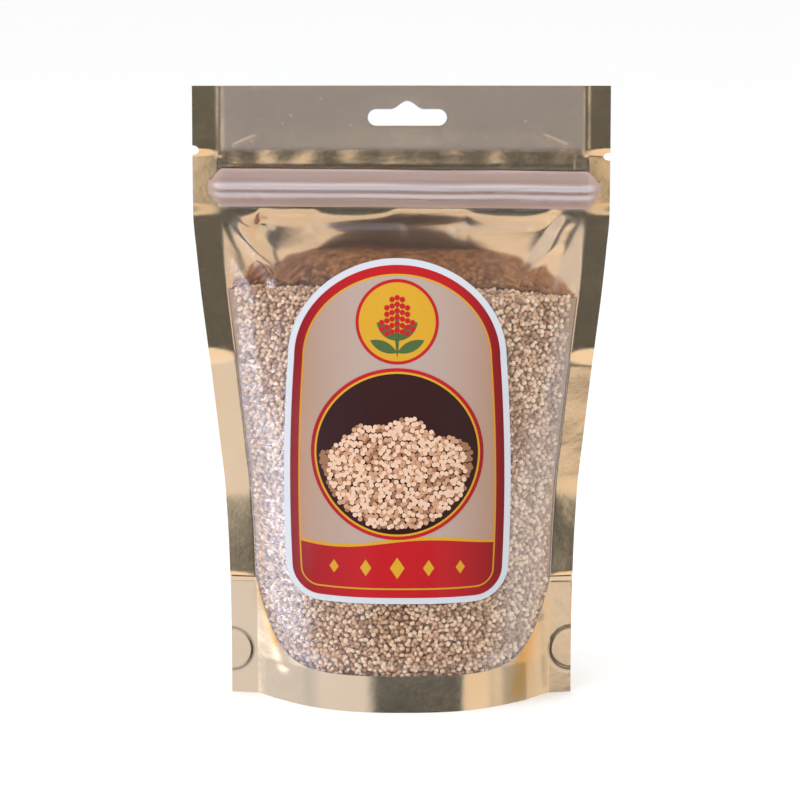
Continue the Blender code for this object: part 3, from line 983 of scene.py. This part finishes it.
def seed_mesh(name, centres, seed):
    """Many seeds as one mesh, each turned, sized and shaded at random."""
    chance = np.random.default_rng(seed)
    shape, faces = seed_shape()
    count = len(centres)
    axis = chance.normal(size=(count, 3))
    axis /= np.linalg.norm(axis, axis=1)[:, None]
    side = np.cross(axis, chance.normal(size=(count, 3)))
    side /= np.linalg.norm(side, axis=1)[:, None]
    third = np.cross(axis, side)
    size = SEED_RADIUS * chance.uniform(*SEED_SIZES, (count, 1, 1))
    stretch = chance.uniform(*SEED_LENGTHS, (count, 1, 1))
    local = shape[None] * size
    points = (
        local[:, :, 0:1] * stretch * side[:, None] + local[:, :, 1:2] * third[:, None]
        + local[:, :, 2:3] * axis[:, None] + centres[:, None]
    )
    all_faces = faces[None] + (np.arange(count) * len(shape))[:, None, None]
    mesh = bpy.data.meshes.new(name)
    mesh.vertices.add(count * len(shape))
    mesh.vertices.foreach_set("co", points.astype(np.float32).ravel())
    mesh.loops.add(all_faces.size)
    mesh.loops.foreach_set("vertex_index", all_faces.astype(np.int32).ravel())
    mesh.polygons.add(count * len(faces))
    mesh.polygons.foreach_set("loop_start", np.arange(0, all_faces.size, 3, dtype=np.int32))
    mesh.update(calc_edges=True)
    mesh.validate()
    store_on_points(mesh, "shade", np.repeat(chance.uniform(*SEED_SHADES, count), len(shape)))
    return mesh


# Each kind of seed: its share of them all, and its pale and deep colours
SEED_KINDS = (
    ("seed_ivory", 0.36, (0.84, 0.67, 0.50), (0.71, 0.50, 0.35)),
    ("seed_tan", 0.38, (0.69, 0.47, 0.31), (0.54, 0.33, 0.20)),
    ("seed_brown", 0.26, (0.46, 0.27, 0.16), (0.31, 0.16, 0.09)),
)
all_centres = seed_places()
picked = np.random.default_rng(11).uniform(0, 1, len(all_centres))
share_before = 0.0
for number, (kind, share, pale, deep) in enumerate(SEED_KINDS):
    chosen = (picked >= share_before) & (picked < share_before + share)
    share_before += share
    material = make_seed_material(kind, pale, deep, 1500.0, "shade")
    place(kind, seed_mesh(kind, all_centres[chosen], 20 + number), material, sharp=180)


# Front film
# Clear glossy film over the whole front, welded at the sides and to the gusset along the seam.
# Over the seed it is pressed into fine crinkles, and it bridges the zip and the empty headspace.
FRONT_FILM_THICKNESS = 0.00008
FILM_COLUMNS = 185
FILM_ROWS = 260
FILM_RISE = 6
CRINKLE_HEIGHT = 0.00007
CRINKLE_SIZE = 0.0021
CRUMPLE_SHARE = 0.7
CRUMPLE_SIZE = 0.0052
SLACK_WAVE = 0.00022
SLACK_WAVE_SIZE = 0.014
OVER_SEED_EASE = 0.004

# The bead of the weld, just above the seam: how high it lies and how far it stands out
BEAD_HEIGHT = 0.0008
BEAD_STAND = 0.0002

# The film over the zip: how far it stands before the zip, and how it comes off the zip's edges
OVER_ZIP_STAND = 0.00085
OVER_ZIP_REACH = 0.0009
OVER_ZIP_EASE = 0.0012


def film_sheet():
    """The front film from the gusset seam to the top edge, as two grids of points."""
    columns = np.linspace(-1, 1, FILM_COLUMNS)
    seam = gusset_seam(columns)
    height = np.array([seam + (POUCH_HEIGHT - seam) * share for share in np.linspace(0, 1, FILM_ROWS)])
    x = between_seals(columns, height)
    depth = front_depth(x, height) + WELD_GAP
    over_seed = smooth_step((fill_height(x, np.zeros_like(x)) - height) / OVER_SEED_EASE)
    rise = np.minimum(1.0, FILM_RISE * (1 - np.abs(across_panel(x, height))))
    crinkle = ripple(x, height, CRINKLE_SIZE, 1.0) + CRUMPLE_SHARE * ripple(x, height, CRUMPLE_SIZE, 2.0)
    slack = SLACK_WAVE * ripple(x, height, SLACK_WAVE_SIZE, 4.0)
    depth = depth + rise * (CRINKLE_HEIGHT * crinkle * over_seed + slack * (1 - over_seed))
    bead = np.exp(-(((height - seam - BEAD_HEIGHT) / BEAD_HEIGHT) ** 2))
    depth = depth + BEAD_STAND * rise * bead
    offset = height - ZIP_MIDDLE_HEIGHT - ZIP_SLOPE * x
    reach = smooth_step((ZIP_HALF_HEIGHT + OVER_ZIP_REACH - np.abs(offset)) / OVER_ZIP_EASE)
    on_zip = np.clip(offset, -ZIP_HALF_HEIGHT, ZIP_HALF_HEIGHT)
    depth = np.maximum(depth, reach * (zip_surface(x, on_zip) + OVER_ZIP_STAND))
    back = sway(x, height)
    near = np.stack([x, back - depth, height], axis=2)
    far = np.stack([x, back - depth + FRONT_FILM_THICKNESS, height], axis=2)
    return near, far


# The share that the film mirrors at each of its two faces, and what the unpressed header adds
MIRROR_SHARE = 0.55
LEAST_MIRROR = 0.002
MOST_MIRROR = 0.25
HEADER_CLOUD = 0.09
HEADER_DULLNESS = 0.32
FILM_ROUGHNESS = 0.10


def make_clear_film():
    """Clear film: its alpha is the share that it mirrors, more at a glancing angle and on crinkles."""
    material, tree, shader = new_material("clear_film")
    fine = add_node(
        tree, "ShaderNodeTexNoise", Vector=place_in(tree), Scale=520.0, Detail=3.0, Roughness=0.6,
        Distortion=0.8,
    )
    bump = add_node(tree, "ShaderNodeBump", Strength=0.8, Distance=0.00016, Height=fine.outputs["Fac"])
    normal = bump.outputs["Normal"]
    mirror = add_node(tree, "ShaderNodeFresnel", IOR=1.5, Normal=normal).outputs["Fac"]
    share = calculate(tree, "MULTIPLY_ADD", mirror, MIRROR_SHARE, LEAST_MIRROR)
    share = calculate(tree, "MINIMUM", share, MOST_MIRROR)
    header = use_group(tree, HEADER_MASK).outputs["Mask"]
    feed_inputs(
        tree, shader, Base_Color=(0.95, 0.95, 1.0), Metallic=0.90, Normal=normal,
        Alpha=calculate(tree, "MULTIPLY_ADD", header, HEADER_CLOUD, share),
        Roughness=calculate(tree, "MULTIPLY_ADD", header, HEADER_DULLNESS, FILM_ROUGHNESS),
    )
    return material


film_near, film_far = film_sheet()
film_mesh = sheet_mesh("front_film", film_near, film_far)
front_film = place("front_film", film_mesh, make_clear_film())
punch_out(front_film, [hang_hole_outline()])


# Label
# A die-cut sticker of glossy coated paper on the front film, printed in a few flat inks.
# Its base is white, and each field of ink lies over the one before.
LABEL_BOTTOM = 0.033
LABEL_SPRING = 0.103
LABEL_TOP = 0.1315
LABEL_HALF_WIDTH = 0.0325
LABEL_MIDDLE = -0.0012
LABEL_BARREL = 0.0012
LABEL_CORNER = 0.009
LEAST_CORNER = 0.002
CORNER_POINTS = 10
SIDE_POINTS = 40
ARCH_POINTS = 36
BASE_POINTS = 30
FOOT_WAVE = 0.0012
FOOT_WAVE_START = 0.6
FOOT_WAVE_POINTS = 60
LABEL_LIFT = 0.00030
INK_STEP = 0.00003
INK_THICKNESS = 0.8 * INK_STEP
LEAN_STEP = 0.0005


def label_point(x, height, lift):
    """Points of the label, lifted off the front film along its normal."""
    x = x + LABEL_MIDDLE
    depth = front_depth(x, height)
    lean_x = (front_depth(x + LEAN_STEP, height) - depth) / LEAN_STEP
    lean_z = (front_depth(x, height + LEAN_STEP) - depth) / LEAN_STEP
    length = np.sqrt(1 + lean_x**2 + lean_z**2)
    return np.stack([
        x - lift * lean_x / length,
        -depth - WELD_GAP - lift / length,
        height - lift * lean_z / length,
    ], axis=-1)


def label_outline(inset, wave_height=None):
    """The label's outline moved in by a distance, or its foot alone up to a wavy line."""
    bottom = LABEL_BOTTOM + inset
    top = LABEL_TOP - inset
    corner = max(LABEL_CORNER - inset, LEAST_CORNER)

    def half(height):
        """The half width at a height, over barrelled sides, round corners and an arch."""
        swell = (height - (LABEL_BOTTOM + LABEL_SPRING) / 2) / ((LABEL_SPRING - LABEL_BOTTOM) / 2)
        width = LABEL_HALF_WIDTH - LABEL_BARREL * min(1.0, swell * swell) - inset
        if height > LABEL_SPRING:
            rise = min(1.0, (height - LABEL_SPRING) / (top - LABEL_SPRING))
            return width * math.sqrt(1 - rise * rise)
        drop = min(corner, max(0.0, bottom + corner - height))
        return width - corner + math.sqrt(corner**2 - drop**2)

    quarter = math.pi / 2
    heights = [bottom + corner * (1 - math.cos(quarter * k / CORNER_POINTS)) for k in range(CORNER_POINTS)]
    heights += list(np.linspace(bottom + corner, LABEL_SPRING, SIDE_POINTS, endpoint=False))
    for k in range(ARCH_POINTS + 1):
        heights.append(LABEL_SPRING + (top - LABEL_SPRING) * math.sin(quarter * k / ARCH_POINTS))
    right = [(half(h), h) for h in heights]
    base = [(x, bottom) for x in np.linspace(-half(bottom), half(bottom), BASE_POINTS, endpoint=False)][1:]
    if wave_height is None:
        return base + right + [(-x, h) for x, h in reversed(right)][1:]
    right = [(x, h) for x, h in right if h < wave_height - FOOT_WAVE]
    side = half(wave_height)
    wave = [
        (x, wave_height + FOOT_WAVE * math.sin(math.pi * x / side + FOOT_WAVE_START))
        for x in np.linspace(side, -side, FOOT_WAVE_POINTS)
    ]
    return base + right + wave + [(-x, h) for x, h in reversed(right)]


def ink(name, layer, outlines, material, rings):
    """Thin printed fields inside their outlines, all in one layer, on rings that follow the film."""
    lift = LABEL_LIFT + INK_STEP * layer
    points = []
    faces = []
    start = 0
    for outline in outlines:
        outline = np.array(outline)
        centre = (outline.min(axis=0) + outline.max(axis=0)) / 2
        shares = np.linspace(0, 1, rings + 1)[1:]
        loops = centre + (outline - centre) * shares[:, None, None]
        flat = np.concatenate([[centre], loops.reshape(-1, 2)])
        points.append(label_point(flat[:, 0], flat[:, 1], lift))
        points.append(label_point(flat[:, 0], flat[:, 1], lift - INK_THICKNESS))
        count = len(outline)
        behind = start + len(flat)
        rim = 1 + (rings - 1) * count
        for k in range(count):
            after = (k + 1) % count
            faces.append((start, start + 1 + k, start + 1 + after))
            faces.append((behind, behind + 1 + after, behind + 1 + k))
            for low in range(1, rim, count):
                high = low + count
                loop = (low + k, high + k, high + after, low + after)
                faces.append([start + point for point in loop])
                faces.append([behind + point for point in reversed(loop)])
            faces.append((start + rim + after, start + rim + k, behind + rim + k, behind + rim + after))
        start = behind + len(flat)
    mesh = bpy.data.meshes.new(name)
    mesh.from_pydata(np.concatenate(points).tolist(), [], faces)
    return place(name, mesh, material)


SIDE_SHADE_STEEPNESS = 2.2
INK_GRAIN = 0.12
INK_ROUGHNESS = 0.28
INK_ROUGHNESS_SPREAD = 0.14


def make_ink_and_side_shade():
    """Printed ink under varnish with a fine paper grain, and painted shade that deepens it towards the
    label's sides, where the label curves back with the film.
    """
    group, given, result = new_group("ink_and_side_shade", (
        ("Ink", (0.5, 0.5, 0.5)),
        ("Edge Ink", (0.4, 0.4, 0.4)),
        ("Half Breadth", 0.030),
    ))
    given = given.outputs
    axes = add_node(group, "ShaderNodeSeparateXYZ", Vector=place_in(group))
    side = calculate(group, "ABSOLUTE", calculate(group, "SUBTRACT", axes.outputs["X"], LABEL_MIDDLE))
    share = calculate(group, "DIVIDE", side, given["Half Breadth"], clamp=True)
    steep = calculate(group, "POWER", share, SIDE_SHADE_STEEPNESS)
    grain = add_node(group, "ShaderNodeTexNoise", Vector=place_in(group), Scale=1400.0, Detail=2.0)
    grain = grain.outputs["Fac"]
    drift = calculate(group, "MULTIPLY_ADD", grain, INK_GRAIN, steep)
    wave = add_node(group, "ShaderNodeTexNoise", Vector=place_in(group), Scale=130.0, Detail=1.0)
    bump = add_node(group, "ShaderNodeBump", Strength=0.5, Distance=0.0004, Height=wave.outputs["Fac"])
    feed_inputs(
        group, result, Color=mix_colours(group, drift, given["Ink"], given["Edge Ink"]),
        Roughness=calculate(group, "MULTIPLY_ADD", grain, INK_ROUGHNESS_SPREAD, INK_ROUGHNESS),
        Normal=bump.outputs["Normal"],
    )
    return group


INK_AND_SIDE_SHADE = make_ink_and_side_shade()


def make_ink(name, ink_colour, side_shade_colour=None, half_breadth=0.030):
    """One printed colour, with painted shade that may deepen it towards the label's sides."""
    material, tree, shader = new_material(name)
    side_shade_colour = side_shade_colour or ink_colour
    inked = use_group(tree, INK_AND_SIDE_SHADE, Ink=ink_colour, Edge_Ink=side_shade_colour, Half_Breadth=half_breadth)
    put_on(tree, shader, inked)
    feed_inputs(tree, shader, Specular_IOR_Level=0.1, Coat_Weight=0.15, Coat_Roughness=0.10)
    return material


# Each ink's second colour, where given, is painted shade towards the label's sides; without one the ink
# stays even
WHITE_PAPER = make_ink("label_white", (0.52, 0.54, 0.59))
RED_INK = make_ink("ink_red", (0.44, 0.010, 0.014), (0.13, 0.003, 0.006), 0.033)
GOLD_INK = make_ink("ink_gold", (0.55, 0.30, 0.022), (0.50, 0.22, 0.015))
CREAM_INK = make_ink("ink_cream", (0.39, 0.305, 0.27), (0.34, 0.20, 0.135), 0.029)
BROWN_INK = make_ink("ink_brown", (0.030, 0.006, 0.006), (0.018, 0.004, 0.004))
GREEN_INK = make_ink("ink_green", (0.060, 0.110, 0.035), (0.035, 0.070, 0.025))
SHADE_SEED_INK = make_ink("ink_seed_shade", (0.28, 0.14, 0.08), (0.24, 0.11, 0.06))
SEED_INK = make_ink("ink_seed", (0.50, 0.28, 0.17), (0.44, 0.23, 0.13))
PALE_SEED_INK = make_ink("ink_seed_pale", (0.68, 0.46, 0.33), (0.62, 0.40, 0.28))

FRAME_INSET = 0.0018
HAIRLINE_INSET = 0.0042
FIELD_INSET = 0.0047
FIELD_RINGS = 16
label_paper = ink("label_paper", 0, [label_outline(0.0)], WHITE_PAPER, FIELD_RINGS)
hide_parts("label")
ink("label_frame", 1, [label_outline(FRAME_INSET)], RED_INK, FIELD_RINGS)
ink("label_hairline", 2, [label_outline(HAIRLINE_INSET)], GOLD_INK, FIELD_RINGS)
ink("label_field", 3, [label_outline(FIELD_INSET)], CREAM_INK, FIELD_RINGS)
FOOT_TOP = 0.0505
FOOT_EDGE = 0.0009
FOOT_RINGS = 18
ink("label_foot_edge", 4, [label_outline(FIELD_INSET, FOOT_TOP + FOOT_EDGE)], GOLD_INK, FOOT_RINGS)
ink("label_foot", 5, [label_outline(FIELD_INSET, FOOT_TOP)], RED_INK, FOOT_RINGS)


def round_outline(x, z, radius, count):
    """A circle on the label."""
    turns = [2 * math.pi * k / count for k in range(count)]
    return [(x + radius * math.cos(t), z + radius * math.sin(t)) for t in turns]


def leaf_outline(x, z, length, breadth, turn, count=20):
    """A pointed leaf that starts at a point and runs off at an angle from upright."""
    outline = []
    for k in range(count):
        share = k / count * 2
        side = 1 if share < 1 else -1
        along = share if share < 1 else 2 - share
        out = side * breadth / 2 * math.sin(math.pi * along) ** 0.8
        run = length * along
        outline.append((
            x + run * math.sin(turn) + out * math.cos(turn),
            z + run * math.cos(turn) - out * math.sin(turn),
        ))
    return outline


def lozenge_outline(x, z, size):
    """An upright lozenge on the label."""
    return [(x + size, z), (x, z + 1.5 * size), (x - size, z), (x, z - 1.5 * size)]


# A row of gold lozenges in the foot, and a seed head with leaves on a gold disc
LOZENGES = ((-0.018, 0.0013), (-0.009, 0.0016), (0.0, 0.0021), (0.009, 0.0016), (0.018, 0.0013))
LOZENGE_HEIGHT = 0.0436
ink("label_lozenges", 6, [lozenge_outline(x, LOZENGE_HEIGHT, size) for x, size in LOZENGES], GOLD_INK, 2)
DISC_HEIGHT = 0.1140
DISC_POINTS = 56
DISC_RINGS = 8
ink("label_disc_ring", 4, [round_outline(0, DISC_HEIGHT, 0.0119, DISC_POINTS)], RED_INK, DISC_RINGS)
ink("label_disc", 5, [round_outline(0, DISC_HEIGHT, 0.0110, DISC_POINTS)], GOLD_INK, DISC_RINGS)
STALK_FOOT = DISC_HEIGHT - 0.0101
STALK_LENGTH = 0.0160
STALK_BREADTH = 0.0013
LEAF_FOOT = DISC_HEIGHT - 0.0094
LEAF_BREADTH = 0.0030
LEAVES = ((0.0008, 1.15, 0.0085), (0.0042, 0.85, 0.0078))
sprig = [leaf_outline(0, STALK_FOOT, STALK_LENGTH, STALK_BREADTH, 0.0)]
for side in (-1, 1):
    for rise, turn, length in LEAVES:
        sprig.append(leaf_outline(0, LEAF_FOOT + rise, length, LEAF_BREADTH, side * turn))
ink("label_sprig", 6, sprig, GREEN_INK, 4)
HEAD_ROWS = (2, 3, 3, 2, 2, 1)
HEAD_FOOT = DISC_HEIGHT - 0.0022
HEAD_ROW_STEP = 0.0018
HEAD_COLUMN_STEP = 0.00148
HEAD_DROOP = 0.0005
head = []
for row, across in enumerate(HEAD_ROWS):
    for column in range(-across, across + 1):
        rise = HEAD_FOOT + HEAD_ROW_STEP * row - HEAD_DROOP * abs(column)
        head.append(round_outline(HEAD_COLUMN_STEP * column, rise, 0.00078, 12))
ink("label_seed_head", 7, head, RED_INK, 2)

# A round picture of heaped seed on a dark ground, ringed in gold and red
PICTURE_HEIGHT = 0.0765
PICTURE_FIELDS = (
    ("label_picture_edge", 0.0246, RED_INK),
    ("label_picture_ring", 0.0236, GOLD_INK),
    ("label_picture_ground", 0.0230, BROWN_INK),
)
for number, (name, radius, field_ink) in enumerate(PICTURE_FIELDS):
    ink(name, 6 + number, [round_outline(0, PICTURE_HEIGHT, radius, 80)], field_ink, 12)
HEAP_PITCH = 0.00128
HEAP_SHIFT = 0.25
HEAP_ROWS = 38
HEAP_ROW_SHARE = 0.86
HEAP_ROWS_DOWN = 18
HEAP_HALF_COLUMNS = 18
HEAP_RADIUS = 0.0218
HEAP_LIT_RADIUS = 0.0195
HEAP_LIT_DROP = 0.005
HEAP_DOT_RADIUS = 0.00070
HEAP_DOT_POINTS = 9

# Height and breadth of the heap's crest, and of the small humps on it
HEAP_CREST = (0.0100, 0.0140)
CREST_HUMPS = (0.0012, 0.0024)
heap = {1: [], 2: [], 3: []}
heap_chance = random.Random(31)
for row in range(HEAP_ROWS):
    for column in range(-HEAP_HALF_COLUMNS, HEAP_HALF_COLUMNS + 1):
        x = (column + 0.5 * (row % 2) + heap_chance.uniform(-HEAP_SHIFT, HEAP_SHIFT)) * HEAP_PITCH
        z = row * HEAP_ROW_SHARE - HEAP_ROWS_DOWN + heap_chance.uniform(-HEAP_SHIFT, HEAP_SHIFT)
        z = z * HEAP_PITCH
        crest = HEAP_CREST[0] * math.cos(x / HEAP_CREST[1])
        crest = crest + CREST_HUMPS[0] * math.sin(x / CREST_HUMPS[1])
        tone = heap_chance.choice((1, 2, 2, 3, 3, 3))
        if math.hypot(x, z) > HEAP_RADIUS or z > crest:
            continue
        if math.hypot(x, z + HEAP_LIT_DROP) > HEAP_LIT_RADIUS:
            tone = 1
        heap[tone].append(round_outline(x, PICTURE_HEIGHT + z, HEAP_DOT_RADIUS, HEAP_DOT_POINTS))
ink("label_heap_shade", 9, heap[1], SHADE_SEED_INK, 1)
ink("label_heap", 10, heap[2], SEED_INK, 1)
ink("label_heap_pale", 11, heap[3], PALE_SEED_INK, 1)


# Studio
# A pale floor in a white room. What the pouch mirrors is a room of its own: bright walls and a bright
# near floor round the dim side that the camera stands on, for gold film's pale and olive fields.
FLOOR_REACH = 3.0
floor_corners = [(x * FLOOR_REACH, y * FLOOR_REACH, 0.0) for x, y in ((-1, -1), (1, -1), (1, 1), (-1, 1))]
floor_mesh = bpy.data.meshes.new("floor")
floor_mesh.from_pydata(floor_corners, [], [(0, 1, 2, 3)])
floor = bpy.data.objects.new("floor", floor_mesh)
bpy.context.scene.collection.objects.link(floor)
floor_material, floor_tree, floor_shader = new_material("floor_white")
feed_inputs(floor_tree, floor_shader, Base_Color=(0.92, 0.92, 0.92), Roughness=0.9)
floor_mesh.materials.append(floor_material)
floor.visible_glossy = False

world = bpy.data.worlds.new("studio")
bpy.context.scene.world = world
world.use_nodes = True
world_tree = world.node_tree
backdrop = world_tree.nodes["Background"]
feed_inputs(world_tree, backdrop, Color=(1.0, 1.0, 1.0), Strength=1.0)
way = add_node(world_tree, "ShaderNodeTexCoord").outputs["Generated"]
way = add_node(world_tree, "ShaderNodeSeparateXYZ", Vector=way).outputs


def combine(operation, *fields):
    """Fields of light put together one after the other, or one field and a number."""
    total = fields[0]
    for field in fields[1:]:
        total = calculate(world_tree, operation, total, field)
    return total


def field_of(axis, low, high, amount=1.0, sign=1.0):
    """Light that starts at one value of a direction's part along an axis and is full at another."""
    along = combine("MULTIPLY", way[axis], sign)
    field = add_node(
        world_tree, "ShaderNodeMapRange", interpolation_type="SMOOTHSTEP", Value=along, From_Min=low,
        From_Max=high, To_Max=amount,
    )
    return field.outputs["Result"]


# The walls at the left and right, a gap of dim light between them, and the far left corner
left_wall = field_of("X", 0.15, 0.30, amount=0.93, sign=-1.0)
left_wall = combine("MULTIPLY", left_wall, field_of("Z", -0.47, -0.43))
right_wall = combine("MULTIPLY", field_of("X", 0.15, 0.30), field_of("Z", -0.300, -0.278))
side_walls = combine("MAXIMUM", left_wall, right_wall)
side_walls = combine("SUBTRACT", side_walls, field_of("X", 0.80, 0.92, amount=0.25, sign=-1.0))
far_left = combine("ADD", field_of("Z", -0.29, -0.21, amount=1.9), 0.8)
far_left = combine("MULTIPLY", field_of("X", 0.82, 0.93, sign=-1.0), far_left)
far_right = field_of("X", 0.54, 0.62, amount=1.05)
far_right = combine("SUBTRACT", far_right, field_of("X", 0.86, 0.92, amount=0.50))

# The room above, behind the pouch, and its floor near the camera
upper_room = field_of("Z", -0.14, 0.10, amount=0.9)
upper_room = combine("SUBTRACT", upper_room, field_of("Z", 0.30, 0.55, amount=0.6))
room_behind = field_of("Y", 0.05, 0.25, amount=0.9)
near_floor = field_of("Z", 0.38, 0.46, amount=1.13, sign=-1.0)
walls = combine("MAXIMUM", side_walls, far_left, upper_room, far_right, near_floor, room_behind)

# A low window at the left, and the colours: cool in the dim parts and at the left, warm at the right
left_window = combine("MULTIPLY", field_of("X", 0.70, 0.86, sign=-1.0), field_of("Z", -0.18, -0.06))
left_window = combine("MULTIPLY", left_window, field_of("Z", -0.60, -0.35, amount=5.0, sign=-1.0))
DIM_LIGHT = 0.07
DIM_COLOUR = (0.62, 0.94, 1.25)
wall_colour = mix_colours(world_tree, field_of("X", 0.50, 0.60), (1.0, 0.98, 0.96), (1.0, 0.93, 0.82))
at_left = field_of("X", 0.18, 0.32, sign=-1.0)
wall_colour = mix_colours(world_tree, at_left, wall_colour, (1.0, 1.06, 1.22))
room = add_node(
    world_tree, "ShaderNodeBackground", Color=mix_colours(world_tree, walls, DIM_COLOUR, wall_colour),
    Strength=combine("ADD", walls, left_window, DIM_LIGHT),
)
path = add_node(world_tree, "ShaderNodeLightPath")
choose = add_node(world_tree, "ShaderNodeMixShader", Fac=path.outputs["Is Glossy Ray"])
feed(world_tree, backdrop.outputs["Background"], choose.inputs[1])
feed(world_tree, room.outputs["Background"], choose.inputs[2])
feed(world_tree, choose.outputs["Shader"], world_tree.nodes["World Output"].inputs["Surface"])


def softbox(name, place_at, look_at, width, height, power, colour):
    """A soft rectangular studio light. Nothing mirrors it, as the room above stands in for it there."""
    lamp = bpy.data.lights.new(name, "AREA")
    lamp.shape = "RECTANGLE"
    lamp.size = width
    lamp.size_y = height
    lamp.energy = power
    lamp.color = colour
    stand = bpy.data.objects.new(name, lamp)
    bpy.context.scene.collection.objects.link(stand)
    stand.location = place_at
    stand.visible_glossy = False
    direction = Vector(look_at) - Vector(place_at)
    stand.rotation_euler = direction.to_track_quat("-Z", "Y").to_euler()


MIDDLE = (0, 0, 0.09)
softbox("left_light", (-0.75, -0.45, 0.45), MIDDLE, 0.30, 0.70, 3.0, (0.97, 0.98, 1.0))
softbox("right_light", (0.80, -0.35, 0.50), MIDDLE, 0.25, 0.50, 1.0, (1.0, 0.98, 0.95))
softbox("top_light", (0.0, -0.25, 0.95), MIDDLE, 0.60, 0.40, 2.0, (1.0, 1.0, 1.0))

CAMERA_DISTANCE = 1.8
CAMERA_ELEVATION = math.radians(12.8)
CAMERA_TARGET = Vector((-0.0004, 0.0, 0.0878))
CAMERA_LENS = 279.8
camera_data = bpy.data.cameras.new("camera")
camera_data.lens = CAMERA_LENS
camera_data.sensor_width = 36.0
camera = bpy.data.objects.new("camera", camera_data)
bpy.context.scene.collection.objects.link(camera)
toward = Vector((0.0, math.cos(CAMERA_ELEVATION), -math.sin(CAMERA_ELEVATION)))
camera.location = CAMERA_TARGET - toward * CAMERA_DISTANCE
camera.rotation_euler = toward.to_track_quat("-Z", "Y").to_euler()
bpy.context.scene.camera = camera
bpy.context.scene.view_settings.view_transform = "Standard"
